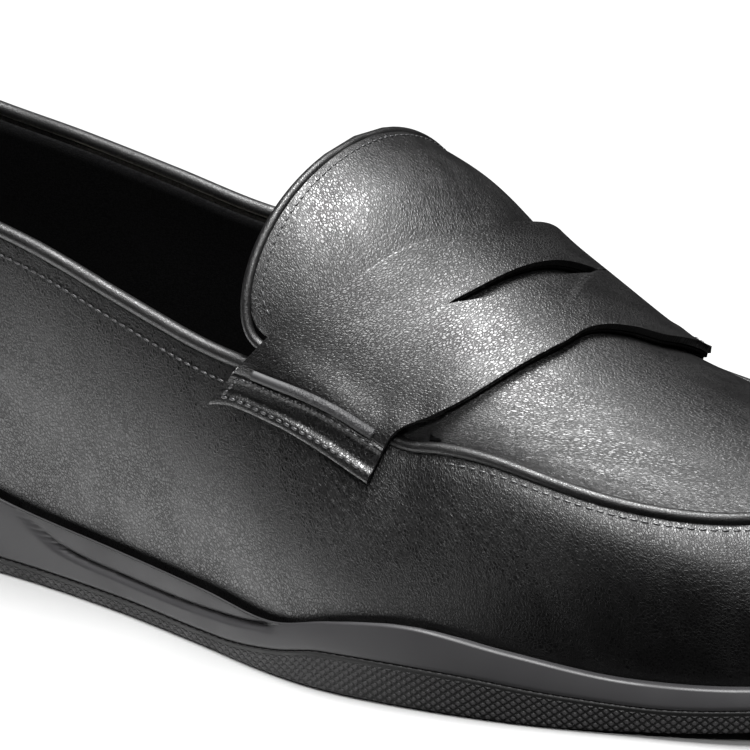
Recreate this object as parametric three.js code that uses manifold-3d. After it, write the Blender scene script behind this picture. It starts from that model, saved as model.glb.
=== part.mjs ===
// Penny loafer, right foot, men's size.
// Frame: +X to the toe, -Y to the outer side of the foot, +Z up, millimetres.
// Z = 0 is the ground under the outsole, X = 0 is half way along the sole.
import * as THREE from 'three';
import { mergeVertices } from 'three/addons/utils/BufferGeometryUtils.js';
import Module from 'manifold-3d';

const wasm = await Module();
wasm.setup();

// ---------------------------------------------------------------- driving dimensions
const SOLE_LENGTH = 300;
const SOLE_WIDTH = 104;
const UPPER_HEIGHT = 92;
const OUTSOLE_THICKNESS = 3.2;
const LIP_WIDTH = 2.2;
const LIP_DRAFT = 1.2;
const LEATHER = 1.3;
const STIFFENER = 1.2;
const LINING = 0.9;
const LASTING_MARGIN = 13;
const BOARD = 2.0;
const FOOTBED = 4.0;
const PIPING_DIAMETER = 2.6;
const BEAD_DIAMETER = 2.8;
const TONGUE_BEAD_DIAMETER = 2.2;
const STRAP_THICKNESS = 1.5;
const STRAP_LINING = 0.6;
const STRAP_STANDOFF = 0.8;
const PIPING_PROUD = 1.8;
const PIPING_SPREAD = 4;
const RIB_DIAMETER = 2.4;
const THREAD_DIAMETER = 0.8;
const SHANK_LENGTH = 105;
const SHANK_WIDTH = 14;
const SHANK_THICKNESS = 1.2;
const GAP = 0.3;

// Sizes of the last that the curves below are drawn on; the sole sizes scale them.
const DRAWN_LENGTH = 300;
const DRAWN_WIDTH = 104;
const DRAWN_HEIGHT = 92;
const SX = SOLE_LENGTH / DRAWN_LENGTH;
const SY = SOLE_WIDTH / DRAWN_WIDTH;
const SZ = UPPER_HEIGHT / DRAWN_HEIGHT;

// ---------------------------------------------------------------- curves
// Smooth function of one number through a list of [x, y] points.
function through(points) {
  const last = points.length - 1;
  const slope = (i) => {
    const a = points[Math.max(i - 1, 0)];
    const b = points[Math.min(i + 1, last)];
    return (b[1] - a[1]) / (b[0] - a[0]);
  };
  return (x) => {
    const t = Math.min(Math.max(x, points[0][0]), points[last][0]);
    let i = 0;
    while (i < last - 1 && t > points[i + 1][0]) i += 1;
    const [x0, y0] = points[i];
    const [x1, y1] = points[i + 1];
    const h = x1 - x0;
    const u = (t - x0) / h;
    const v = 1 - u;
    return v * v * (1 + 2 * u) * y0 + u * u * (3 - 2 * u) * y1 + h * u * v * (v * slope(i) - u * slope(i + 1));
  };
}

// Smooth curve in space through points, followed by s from 0 to 1.
function along(points) {
  const count = points.length - 1;
  const axes = [0, 1, 2].map((k) => through(points.map((p, i) => [i / count, p[k]])));
  return (s) => new THREE.Vector3(axes[0](s), axes[1](s), axes[2](s));
}

// Plan of the sole from heel to toe, outer side and inner side (x, y, lip height).
const OUTER_PLAN = [
  [-150, 0, 27], [-146, -19, 27], [-133, -31, 26.5], [-109, -35.5, 25], [-84, -36.8, 22],
  [-59, -38.2, 16.3], [-33, -42.3, 13.8], [-10, -47.8, 12.6], [8, -52.6, 11.6], [23, -54.6, 15.6],
  [41, -53.6, 17.8], [62, -50.4, 15], [85, -44.6, 11.6], [109, -37.8, 12], [131, -27.5, 14.5],
  [145, -14, 17], [150, 2, 18],
];
const INNER_PLAN = [
  [-150, 0, 27], [-146, 19, 27], [-133, 31, 26.5], [-109, 34.5, 25], [-84, 33.8, 22],
  [-59, 32.2, 16.3], [-33, 32.8, 13.8], [-10, 36.6, 12.6], [12, 41.4, 12.2], [34, 45.8, 15],
  [57, 48.4, 15.2], [80, 48, 13], [102, 43.6, 11.8], [123, 34.6, 13.2], [138, 24.5, 15.6],
  [147, 13.5, 17.2], [150, 2, 18],
];
const STATIONS = OUTER_PLAN.length - 1;
// Each half carries on one station into the other half, so that the two meet smoothly at heel and toe.
function planOf(list, other) {
  const points = [other[1], ...list, other[STATIONS - 1]];
  const curve = along(points.map(([x, y, z]) => [x * SX, y * SY, z]));
  return (s) => curve((s * STATIONS + 1) / (STATIONS + 2));
}
const outerPlan = planOf(OUTER_PLAN, INNER_PLAN);
const innerPlan = planOf(INNER_PLAN, OUTER_PLAN);

// Toe spring of the ground face, and the seat that the upper is lasted down to.
const TOE_SPRING = 9;
const SPRING_START = 70;
const SPRING_POWER = 1.6;
function groundAt(x) {
  const start = SPRING_START * SX;
  const share = Math.max(x - start, 0) / (SOLE_LENGTH / 2 - start);
  return TOE_SPRING * share ** SPRING_POWER;
}
const seatAt = through([
  [-150, 16.5], [-100, 16], [-60, 12.6], [-30, 10], [0, 8.7], [60, 8.7], [90, 8.9], [120, 11], [150, 14],
].map(([x, z]) => [x * SX, z]));
const outsoleTopAt = through([
  [-150, 4.4], [-64, 3.9], [-30, 3.8], [-4, 3.9], [10, 6.2], [22, 9.2], [50, 9.6], [73, 7.8], [91, 6.9],
  [109, 8.2], [130, 10], [150, 12.4],
].map(([x, z]) => [x * SX, z]));

// side is -1 for the outer half and +1 for the inner half, s from 0 at the heel to 1 at the toe.
function planPoint(side, s) {
  if (s < 0) return planPoint(-side, -s);
  if (s > 1) return planPoint(-side, 2 - s);
  return side < 0 ? outerPlan(s) : innerPlan(s);
}
function planInset(side, s, inset) {
  const step = 0.004;
  const way = planPoint(side, s + step).sub(planPoint(side, s - step)).setZ(0).normalize();
  const inward = new THREE.Vector3(side * way.y, -side * way.x, 0);
  return planPoint(side, s).addScaledVector(inward, inset);
}

// ---------------------------------------------------------------- apron and tongue
const TONGUE_BACK = 2.5;
const TONGUE_CORNER = 12;
const TONGUE_SQUARENESS = 5;
const THROAT_X = 24;
const APRON_MID = 60;
const APRON_FRONT = 117;
const TOE_SQUARENESS = 2.3;
const crownCentre = through([[-10, 2], [30, 1.2], [60, 1], [90, 2.5], [120, 4.5]]);
const crownHalf = through([[-10, 40], [30, 39.2], [60, 38.5], [80, 38], [100, 37], [117, 36]]);
const crownTop = through([
  [-10, 104], [4, 98], [17, 92.5], [32, 82], [46, 74.5], [55, 69.8], [67, 63.8], [85, 56], [104, 48.5], [117, 44],
]);
const crownRadius = through([[-10, 42.5], [1, 42.3], [35, 41.4], [43, 43], [67, 56.8], [85, 63], [104, 66], [120, 70]]);
const crownFall = through([[30, 0], [45, 1.5], [55, 3.6], [67, 5.6], [77, 5], [90, 3.5], [105, 1.8], [117, 0.4]]);
const crownSkew = through([[-10, 0.22], [20, 0.2], [40, 0.12], [60, 0.05], [90, 0.02], [120, 0]]);
const FLANK_START = 8;
const crownBow = through([[-10, 0.001], [20, 0.001], [60, 0.0008], [90, 0], [120, 0]]);

// The instep surface: x along the foot, q from -1 to 1 across it. Its inner flank falls away steeper.
function crown(x, q) {
  const d = crownHalf(x) * q;
  const radius = crownRadius(x);
  const inner = Math.min(Math.max((d + FLANK_START) / (crownHalf(x) + FLANK_START), 0), 1);
  const round = radius - Math.sqrt(Math.max(radius * radius - d * d, 1));
  const drop = round + crownFall(x) * inner * inner * (3 - 2 * inner);
  return new THREE.Vector3(
    (x + crownSkew(x) * d - crownBow(x) * d * d) * SX,
    (crownCentre(x) + d) * SY,
    (crownTop(x) - drop) * SZ,
  );
}
const rounded = (value, power) => Math.max(1 - Math.abs(value) ** power, 0) ** (1 / power);
const apronBack = (q) => TONGUE_BACK + TONGUE_CORNER * (1 - rounded(q, TONGUE_SQUARENESS));
const apronFront = (q) => APRON_MID + (APRON_FRONT - APRON_MID) * rounded(q, TOE_SQUARENESS);

// u from 0 at the tongue's back edge to 1 at the toe, v from -1 to 1 across, margin left clear of the rim.
function apron(u, v, margin) {
  const shrink = 1 - margin / crownHalf(APRON_MID);
  const q = Math.sin((v * Math.PI) / 2);
  const back = apronBack(q) + margin;
  const front = apronFront(q) - margin;
  return crown(back + (front - back) * u, q * shrink);
}

// The apron's rim: r = 0 at the throat, 1 where the toe's curve starts, 2 at the toe.
function seamRim(side, r) {
  if (r <= 1) return crown(THROAT_X + (APRON_MID - THROAT_X) * r, side);
  const angle = ((r - 1) * Math.PI) / 2;
  const power = 2 / TOE_SQUARENESS;
  const q = Math.max(Math.cos(angle), 0) ** power;
  return crown(APRON_MID + (APRON_FRONT - APRON_MID) * Math.sin(angle) ** power, side * q);
}
// The tongue's rim: r = 0 at the outer throat, 1 and 2 at the back corners, 3 at the inner throat.
function tongueRim(r) {
  const corner = TONGUE_BACK + TONGUE_CORNER;
  if (r <= 1) return crown(THROAT_X + (corner - THROAT_X) * r, -1);
  if (r >= 2) return crown(corner + (THROAT_X - corner) * (r - 2), 1);
  const angle = (r - 1) * Math.PI;
  const power = 2 / TONGUE_SQUARENESS;
  const q = -Math.sign(Math.cos(angle)) * Math.abs(Math.cos(angle)) ** power;
  return crown(corner - TONGUE_CORNER * Math.sin(angle) ** power, q);
}

// ---------------------------------------------------------------- side walls
const THROAT_STATION = 9;
const THROAT = THROAT_STATION / STATIONS;
const RIM_STATIONS = [
  [9, 0], [10, 0.38], [11, 0.85], [12, 1.149], [13, 1.359], [14, 1.586], [15, 1.794], [16, 2],
];
const rimAt = through(RIM_STATIONS.map(([i, r]) => [i / STATIONS, r]));
const TOPLINE_OUTER = [
  [-139, 0, 92], [-135.5, -14, 91.3], [-124, -24, 89.5], [-102, -30, 86.5], [-78, -33, 82.3],
  [-55, -34.6, 77.2], [-33, -36, 69.8], [-15, -37.4, 64.2], [-1, -38.2, 61.6],
];
const TOPLINE_INNER = [
  [-139, 0, 92], [-135.5, 14, 91], [-124, 23.5, 88], [-102, 27.5, 80.5], [-78, 27.5, 76.4],
  [-55, 27.5, 71.8], [-33, 28, 66.8], [-14, 31.5, 63.4], [2, 37, 61.4],
];
function toplineCurve(list, other, side) {
  const points = [other[1], ...list].map(([x, y, z]) => [x * SX, y * SY, z * SZ]);
  RIM_STATIONS.slice(0, 2).forEach(([, r]) => points.push(seamRim(side, r).toArray()));
  const curve = along(points);
  return (s) => curve((s * STATIONS + 1) / (points.length - 1));
}
const toplineOuter = toplineCurve(TOPLINE_OUTER, TOPLINE_INNER, -1);
const toplineInner = toplineCurve(TOPLINE_INNER, TOPLINE_OUTER, 1);
function topEdge(side, s) {
  if (s >= THROAT) return seamRim(side, rimAt(s));
  return side < 0 ? toplineOuter(s) : toplineInner(s);
}

// How the wall leaves its foot and its top edge: rise at the foot, spread and fall at the top.
const wallRise = through([[0, 26], [0.4, 20], [0.6, 17], [0.8, 15], [1, 13]]);
const wallSpread = through([[0, 1.5], [0.3, 2], [0.5, 5], [0.62, 8], [0.8, 10], [1, 11]]);
const wallFall = through([[0, 24], [0.3, 18], [0.5, 15], [0.62, 10], [0.8, 6], [1, 4]]);
const FOOT_INSET = LIP_DRAFT + LIP_WIDTH + GAP;

function outward(side, s) {
  const edge = planInset(side, s, 0);
  return edge.sub(planInset(side, s, 1)).setZ(0).normalize();
}
function wall(side, s, t) {
  const foot = planInset(side, s, FOOT_INSET);
  foot.z = seatAt(foot.x) + GAP;
  const out = outward(side, s);
  const top = topEdge(side, s);
  const low = foot.clone();
  low.z += wallRise(s);
  const high = top.clone().addScaledVector(out, wallSpread(s));
  high.z -= wallFall(s);
  return new THREE.CubicBezierCurve3(foot, low, high, top).getPoint(t);
}

// ---------------------------------------------------------------- mesh makers
function solid(points, triangles) {
  const geometry = new THREE.BufferGeometry();
  const numbers = points.flatMap((p) => [p.x, p.y, p.z]);
  geometry.setAttribute('position', new THREE.Float32BufferAttribute(numbers, 3));
  geometry.setIndex(triangles);
  return geometry;
}
function quad(list, a, b, c, d) {
  list.push(a, b, c, a, c, d);
}
// Even numbers from one value to another, and the slabs' stations that lie between two values.
const RING = 30;
const steps = (from, to, count) => Array.from({ length: count + 1 }, (_, i) => from + ((to - from) * i) / count);

function stations(from, to) {
  const inside = steps(Math.ceil(from * RING), Math.floor(to * RING), Math.floor(to * RING) - Math.ceil(from * RING));
  const near = 1e-6;
  return [from, ...inside.map((k) => k / RING).filter((a) => a > from + near && a < to - near), to];
}

// A sheet on the surface face(u, v), between two depths measured inwards from it.
function sheet(face, us, vs, outerDepth, innerDepth) {
  const points = [];
  const h = 1e-3;
  const layer = (depth) => us.forEach((u) => vs.forEach((v) => {
    const du = face(u + h, v).sub(face(u - h, v));
    const dv = face(u, v + h).sub(face(u, v - h));
    const normal = du.cross(dv).normalize();
    points.push(face(u, v).addScaledVector(normal, -depth));
  }));
  layer(outerDepth);
  layer(innerDepth);
  const nu = us.length;
  const nv = vs.length;
  const at = (k, i, j) => k * nu * nv + i * nv + j;
  const faces = [];
  for (let i = 0; i < nu - 1; i += 1) {
    for (let j = 0; j < nv - 1; j += 1) {
      quad(faces, at(0, i, j), at(0, i + 1, j), at(0, i + 1, j + 1), at(0, i, j + 1));
      quad(faces, at(1, i, j), at(1, i, j + 1), at(1, i + 1, j + 1), at(1, i + 1, j));
    }
    quad(faces, at(0, i, 0), at(1, i, 0), at(1, i + 1, 0), at(0, i + 1, 0));
    quad(faces, at(0, i, nv - 1), at(0, i + 1, nv - 1), at(1, i + 1, nv - 1), at(1, i, nv - 1));
  }
  for (let j = 0; j < nv - 1; j += 1) {
    quad(faces, at(0, 0, j), at(0, 0, j + 1), at(1, 0, j + 1), at(1, 0, j));
    quad(faces, at(0, nu - 1, j), at(1, nu - 1, j), at(1, nu - 1, j + 1), at(0, nu - 1, j + 1));
  }
  return solid(points, faces);
}

// A slab whose outline is the plan of the sole: rings from the ground side up, capped across the foot.
function slab(rings, from = 0) {
  const ss = steps(from, 1, RING);
  const first = from > 0 ? 0 : 1;
  const points = [];
  const loops = rings.map((ring) => {
    const loop = [];
    ss.forEach((s) => loop.push(points.push(ring(-1, s)) - 1));
    const back = ss.slice(first, -1).reverse();
    back.forEach((s) => loop.push(points.push(ring(1, s)) - 1));
    return loop;
  });
  const faces = [];
  const count = loops[0].length;
  for (let k = 0; k < loops.length - 1; k += 1) {
    for (let i = 0; i < count; i += 1) {
      const j = (i + 1) % count;
      quad(faces, loops[k][i], loops[k][j], loops[k + 1][j], loops[k + 1][i]);
    }
  }
  const cap = (loop, up) => {
    let a = 0;
    let b = loop.length - 1;
    while (b - a > 1) {
      const tri = [loop[a], loop[a + 1], loop[b]];
      faces.push(...(up ? tri : tri.reverse()));
      a += 1;
      if (b - a > 1) {
        const next = [loop[a], loop[b - 1], loop[b]];
        faces.push(...(up ? next : next.reverse()));
        b -= 1;
      }
    }
  };
  cap(loops[0], false);
  cap(loops[loops.length - 1], true);
  return solid(points, faces);
}

const CORD_SIDES = 7;
const THREAD_SIDES = 5;
// A round cord through the points that follow(t) gives for t from 0 to 1.
function cord(follow, diameter, pathSteps, sides = CORD_SIDES) {
  const path = new THREE.CatmullRomCurve3(steps(0, 1, pathSteps).map(follow));
  const shape = new THREE.Shape(steps(0, sides - 1, sides - 1).map((i) => {
    const angle = (2 * Math.PI * i) / sides;
    return new THREE.Vector2((Math.cos(angle) * diameter) / 2, (Math.sin(angle) * diameter) / 2);
  }));
  return new THREE.ExtrudeGeometry(shape, { steps: pathSteps, bevelEnabled: false, extrudePath: path });
}

function toManifold(geometry) {
  const bare = geometry.clone();
  bare.deleteAttribute('normal');
  bare.deleteAttribute('uv');
  const merged = mergeVertices(bare, 1e-4);
  return new wasm.Manifold(new wasm.Mesh({
    numProp: 3,
    vertProperties: new Float32Array(merged.attributes.position.array),
    triVerts: new Uint32Array(merged.index.array),
  }));
}
function fromManifold(body) {
  const mesh = body.getMesh();
  const geometry = new THREE.BufferGeometry();
  geometry.setAttribute('position', new THREE.BufferAttribute(new Float32Array(mesh.vertProperties), 3));
  geometry.setIndex(new THREE.BufferAttribute(new Uint32Array(mesh.triVerts), 1));
  return geometry;
}

// ---------------------------------------------------------------- shoe cross-sections under the strap
// The outline of the upper cut by the plane x = const: [y, z] points from the outer foot over to the inner foot.
const SECTION_WALL_STEPS = 12;
const SECTION_CROWN_STEPS = 24;
const SMOOTHING = 2;
function wallAtX(side, x, t) {
  let low = 0.2;
  let high = 0.9;
  for (let i = 0; i < 22; i += 1) {
    const mid = (low + high) / 2;
    if (wall(side, mid, t).x < x) low = mid;
    else high = mid;
  }
  return wall(side, (low + high) / 2, t);
}
function crownAtX(x, q) {
  let low = -40;
  let high = APRON_FRONT;
  for (let i = 0; i < 24; i += 1) {
    const mid = (low + high) / 2;
    if (crown(mid, q).x < x) low = mid;
    else high = mid;
  }
  return crown((low + high) / 2, q);
}
function section(x) {
  const outer = steps(0.3, 0.98, SECTION_WALL_STEPS).map((t) => wallAtX(-1, x, t));
  const inner = steps(0.98, 0.3, SECTION_WALL_STEPS).map((t) => wallAtX(1, x, t));
  const top = steps(-1, 1, SECTION_CROWN_STEPS).map((v) => crownAtX(x, Math.sin((v * Math.PI) / 2)));
  const clear = 1.5;
  const arch = top.filter((p) => (p.y > 0 ? p.z > inner[0].z + clear : p.z > outer[outer.length - 1].z + clear));
  let line = [...outer, ...arch, ...inner];
  for (let pass = 0; pass < SMOOTHING; pass += 1) {
    line = line.map((p, i) => (i === 0 || i === line.length - 1
      ? p
      : p.clone().multiplyScalar(2).add(line[i - 1]).add(line[i + 1]).multiplyScalar(0.25)));
  }
  return Object.assign(line, { seam: [outer.length - 1, outer.length, line.length - inner.length - 1, line.length - inner.length] });
}
const ridgeOf = (line) => line.reduce((best, p, i) => (p.z > line[best].z ? i : best), 0);
// Point of a section at the girth w, measured along it from the ridge, negative on the outer side.
function girthPoint(line, w) {
  const ridge = ridgeOf(line);
  const way = Math.sign(w) || 1;
  let left = Math.abs(w);
  let i = ridge;
  while (line[i + way]) {
    const gap = line[i].distanceTo(line[i + way]);
    if (gap >= left) return line[i].clone().lerp(line[i + way], left / gap);
    left -= gap;
    i += way;
  }
  return line[i].clone();
}
const STRAP_FIELD_STEP = 4;
const STRAP_FIELD = new Map();
function onUpper(x, w) {
  const cell = Math.floor(x / STRAP_FIELD_STEP);
  const get = (k) => {
    if (!STRAP_FIELD.has(k)) STRAP_FIELD.set(k, section(k * STRAP_FIELD_STEP));
    return girthPoint(STRAP_FIELD.get(k), w);
  };
  return get(cell).lerp(get(cell + 1), x / STRAP_FIELD_STEP - cell);
}

// Girth of the i-th point of a section.
function girthOf(line, index) {
  const ridge = ridgeOf(line);
  const way = Math.sign(index - ridge);
  let girth = 0;
  for (let i = ridge; i !== index; i += way) girth += line[i].distanceTo(line[i + way]);
  return way * girth;
}
// How far the strap stands off the upper, where it rides over the seam cords.
function strapLift(x, w) {
  const line = STRAP_FIELD.get(Math.floor(x / STRAP_FIELD_STEP));
  const [a, b, c, d] = line.seam.map((i) => girthOf(line, i));
  const away = w < 0 ? Math.max(a - w, w - b, 0) : Math.max(c - w, w - d, 0);
  return STRAP_STANDOFF + PIPING_PROUD * Math.exp(-((away / PIPING_SPREAD) ** 2));
}
const strapBack = through([
  [-75, -9], [-67, -3.8], [-58, 1.5], [-48, 7.5], [-38, 14.5], [-24, 21.5], [-12, 28], [0, 33], [12, 35.5],
  [30, 35], [50, 31], [75, 25],
]);
const strapFront = through([
  [-75, 27], [-68, 28], [-60, 30], [-54, 32.5], [-46, 38], [-29, 48.5], [-15, 55.5], [-5, 58.5], [6, 64], [14, 69],
  [30, 72], [50, 69], [75, 63],
]);
const STRAP_END_OUTER = 75;
const STRAP_END_INNER = 66;
const STRAP_SLANT_OUTER = 6.5;
const STRAP_SLANT_INNER = 14;
// a from 0 at the strap's back edge to 1 at its front edge, b from 0 at the outer end to 1 at the inner end.
function strapPlace(a, b) {
  const w0 = -STRAP_END_OUTER + STRAP_SLANT_OUTER * a;
  const w1 = STRAP_END_INNER - STRAP_SLANT_INNER * a;
  const w = w0 + (w1 - w0) * b;
  const x = strapBack(w) + (strapFront(w) - strapBack(w)) * a;
  return [x, w];
}
function strapSurface(a, b, lift = 0) {
  const [x, w] = strapPlace(a, b);
  const h = 0.5;
  const base = onUpper(x, w);
  const dx = onUpper(x + h, w).sub(onUpper(x - h, w));
  const dw = onUpper(x, w + h).sub(onUpper(x, w - h));
  const normal = dx.cross(dw).normalize();
  return base.addScaledVector(normal, strapLift(x, w) + lift);
}

// ---------------------------------------------------------------- rings round the upper
// a = 0 at the heel, 1 at the toe round the outer side, 2 back at the heel round the inner side.
function ringPlace(a) {
  const turn = ((a % 2) + 2) % 2;
  return turn <= 1 ? [-1, turn] : [1, 2 - turn];
}
const topTrim = (s, trim) => 1 - trim / (3 * Math.hypot(wallSpread(s), wallFall(s)));
function ringWall(a, t) {
  const [side, s] = ringPlace(a);
  return wall(side, s, t);
}
// t from 0 at a clearance above the foot to 1 at trim millimetres below the top edge.
const trimmedWall = (trim, clearance = 0) => (a, t) => {
  const s = ringPlace(a)[1];
  const start = clearance / (3 * wallRise(s));
  return ringWall(a, start + (topTrim(s, trim) - start) * t);
};
const MARGIN_SHARE = 0.2;
// The vamp: the margin turned in under the insole board, then the wall up to its trimmed edge.
function vampFace(a, v) {
  if (v >= MARGIN_SHARE) return trimmedWall(EDGE_TRIM)(a, (v - MARGIN_SHARE) / (1 - MARGIN_SHARE));
  const [side, s] = ringPlace(a);
  const turned = planInset(side, s, FOOT_INSET + LASTING_MARGIN * (1 - v / MARGIN_SHARE));
  return turned.setZ(seatAt(turned.x) + GAP);
}

// ---------------------------------------------------------------- materials
const material = (color, roughness, metalness = 0) => new THREE.MeshStandardMaterial({ color, roughness, metalness });
const LEATHER_BLACK = material(0x121212, 0.42);
const EDGE_BLACK = material(0x1b1b1b, 0.3);
const LINING_BLACK = material(0x18181a, 0.75);
const RUBBER = material(0x3a3839, 0.7);
const MIDSOLE = material(0x434041, 0.62);
const BOARD_BROWN = material(0x8a6b48, 0.9);
const CORK = material(0xa57f52, 0.95);
const FOAM = material(0x4a4a4c, 0.95);
const STEEL = material(0x9a9da1, 0.35, 1);
const STIFF_WHITE = material(0xcfc8b8, 0.85);
const THREAD_BLACK = material(0x202020, 0.6);

const shoe = new THREE.Group();
const soleUnit = new THREE.Group();
const insideParts = new THREE.Group();
const upper = new THREE.Group();
const trim = new THREE.Group();
shoe.add(soleUnit, insideParts, upper, trim);

function add(group, name, geometry, finish) {
  geometry.computeVertexNormals();
  const mesh = new THREE.Mesh(geometry, finish);
  mesh.name = name;
  group.add(mesh);
  return mesh;
}

// ---------------------------------------------------------------- sole unit
const level = (inset, height) => (side, s) => {
  const point = planInset(side, s, inset);
  const lip = planPoint(side, s).z;
  return point.setZ(height(point.x, lip));
};
const OUTSOLE_EDGE = 1;
const OUTSOLE_RIM = 1.8;
const OUTSOLE_RIM_SLOPE = 1;
add(soleUnit, 'outsole', slab([
  level(OUTSOLE_EDGE, (x) => groundAt(x)),
  level(0, (x) => groundAt(x) + OUTSOLE_EDGE),
  level(0, (x) => outsoleTopAt(x)),
  level(OUTSOLE_RIM, (x) => outsoleTopAt(x)),
  level(OUTSOLE_RIM + OUTSOLE_RIM_SLOPE, (x) => groundAt(x) + OUTSOLE_THICKNESS),
]), RUBBER);

const LIP_ROUND = 0.5;
add(soleUnit, 'midsole', slab([
  level(OUTSOLE_RIM + OUTSOLE_RIM_SLOPE + 2 * GAP, (x) => groundAt(x) + OUTSOLE_THICKNESS + GAP),
  level(OUTSOLE_RIM + 2 * GAP, (x) => outsoleTopAt(x) + GAP),
  level(0.2, (x) => outsoleTopAt(x) + GAP),
  level(LIP_DRAFT, (x, lip) => lip - LIP_ROUND),
  level(LIP_DRAFT + LIP_ROUND, (x, lip) => lip),
  level(LIP_DRAFT + LIP_WIDTH, (x, lip) => lip),
  level(LIP_DRAFT + LIP_WIDTH, (x) => seatAt(x)),
]), MIDSOLE);

// ---------------------------------------------------------------- inside the shoe, from the seat up
const LAYER_SUM = LEATHER + STIFFENER + LINING + 2 * GAP;
const BOARD_INSET = FOOT_INSET + LAYER_SUM + GAP;
const BOARD_LEVEL = GAP + LEATHER + GAP;
const FOOTBED_LEVEL = BOARD_LEVEL + BOARD + GAP;
const SOCK = 0.8;
const FOOTBED_TAPER = 1.2;
const SOCK_LEVEL = FOOTBED_LEVEL + FOOTBED + GAP;
// Plates draw back a little more at the toe, where the upper closes in over them.
const TOE_TAPER = 2.4 * SX ** 2;
const onSeat = (inset, lift) => (side, s) => {
  const point = planInset(side, s, inset + TOE_TAPER * s ** 12);
  return point.setZ(seatAt(point.x) + lift);
};
const plate = (inset, low, high, from = 0) => slab([onSeat(inset, low), onSeat(inset, high)], from);
const FILLER_BACK = 0.56;
add(insideParts, 'bottom_filler', plate(FOOT_INSET + LASTING_MARGIN + GAP, GAP, GAP + LEATHER, FILLER_BACK), CORK);
add(insideParts, 'insole_board', plate(BOARD_INSET, BOARD_LEVEL, BOARD_LEVEL + BOARD), BOARD_BROWN);
add(insideParts, 'footbed_foam', plate(BOARD_INSET + FOOTBED_TAPER, FOOTBED_LEVEL, FOOTBED_LEVEL + FOOTBED), FOAM);
add(insideParts, 'sock_liner', plate(BOARD_INSET + 2 * FOOTBED_TAPER, SOCK_LEVEL, SOCK_LEVEL + SOCK), LINING_BLACK);

const SHANK_FRONT = 4;
const SHANK_ROUND = 3;
const shankFace = (x, v) => {
  const fromEnd = Math.min(x - (SHANK_FRONT - SHANK_LENGTH), SHANK_FRONT - x);
  const half = SHANK_WIDTH / 2 - SHANK_ROUND * Math.exp(-fromEnd / SHANK_ROUND);
  return new THREE.Vector3(x, half * v, seatAt(x) + GAP + SHANK_THICKNESS);
};
const shankXs = steps(SHANK_FRONT - SHANK_LENGTH, SHANK_FRONT, 16);
add(insideParts, 'shank', sheet(shankFace, shankXs, [-1, 0, 1], 0, SHANK_THICKNESS), STEEL);

// ---------------------------------------------------------------- upper, from the leather inwards
const BACK_SEAM = 0.0008;
const EDGE_TRIM = Math.max(PIPING_DIAMETER, BEAD_DIAMETER) / 2 + 2 * GAP;
const vampVs = [0, MARGIN_SHARE / 2, MARGIN_SHARE, 0.3, 0.44, 0.58, 0.72, 0.86, 1];
add(upper, 'vamp', sheet(vampFace, stations(BACK_SEAM, 2 - BACK_SEAM), vampVs, 0, LEATHER), LEATHER_BLACK);

const wallVs = steps(0, 1, 5);
const stiffDepth = LEATHER + GAP;
const liningDepth = stiffDepth + STIFFENER + GAP;
const COUNTER_REACH = 7 / RING;
const PUFF_START = 25 / RING;
const PUFF_TRIM = 7;
const REINFORCEMENT_FRONT = 0.52;
const PIECE_GAP = 0.003;
const UNDER_CLEARANCE = LEATHER + 4 * GAP;
const stiff = (from, to, trimTop) => sheet(
  trimmedWall(trimTop, UNDER_CLEARANCE),
  stations(from, to),
  wallVs,
  stiffDepth,
  stiffDepth + STIFFENER,
);
const UNDER_TRIM = EDGE_TRIM + 1.5;
add(upper, 'heel_counter', stiff(-COUNTER_REACH, COUNTER_REACH, UNDER_TRIM + 6), STIFF_WHITE);
add(upper, 'toe_puff', stiff(PUFF_START, 2 - PUFF_START, PUFF_TRIM), STIFF_WHITE);
[-1, 1].forEach((side) => {
  const from = COUNTER_REACH + PIECE_GAP;
  const to = REINFORCEMENT_FRONT;
  const range = side < 0 ? [from, to] : [2 - to, 2 - from];
  const name = side < 0 ? 'side_reinforcement_outer' : 'side_reinforcement_inner';
  add(upper, name, stiff(...range, UNDER_TRIM + 2), STIFF_WHITE);
});

const LINING_JOIN = 0.5;
const HEEL_GRIP_REACH = 3 / RING;
const LINING_SEAM_TRIM = 6;
const lining = (from, to, trimTop) => sheet(
  trimmedWall(trimTop, UNDER_CLEARANCE),
  stations(from, to),
  wallVs,
  liningDepth,
  liningDepth + LINING,
);
add(upper, 'heel_grip', lining(-HEEL_GRIP_REACH, HEEL_GRIP_REACH, EDGE_TRIM), LINING_BLACK);
const quarterFrom = HEEL_GRIP_REACH + PIECE_GAP;
add(upper, 'quarter_lining_outer', lining(quarterFrom, LINING_JOIN, EDGE_TRIM), LINING_BLACK);
add(upper, 'quarter_lining_inner', lining(2 - LINING_JOIN, 2 - quarterFrom, EDGE_TRIM), LINING_BLACK);
const vampLiningFrom = LINING_JOIN + PIECE_GAP;
add(upper, 'vamp_lining', lining(vampLiningFrom, 2 - vampLiningFrom, LINING_SEAM_TRIM), LINING_BLACK);

const apronFace = (u, v) => apron(u, v, EDGE_TRIM);
const apronUs = steps(0, 1, 15);
const apronVs = steps(-1, 1, 12);
add(upper, 'apron', sheet(apronFace, apronUs, apronVs, 0, LEATHER), LEATHER_BLACK);
const apronLiningDepth = LEATHER + 2 * GAP;
add(upper, 'apron_lining', sheet(
  apronFace,
  apronUs,
  apronVs,
  apronLiningDepth,
  apronLiningDepth + LINING,
), LINING_BLACK);

const BACKSTAY_REACH = 0.035;
const BACKSTAY_START = 17;
const BACKSTAY_THICKNESS = 1.1;
add(upper, 'backstay', sheet(
  trimmedWall(EDGE_TRIM + 1, BACKSTAY_START),
  steps(-BACKSTAY_REACH, BACKSTAY_REACH, 6),
  wallVs,
  -GAP - BACKSTAY_THICKNESS,
  -GAP,
), LEATHER_BLACK);

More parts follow.
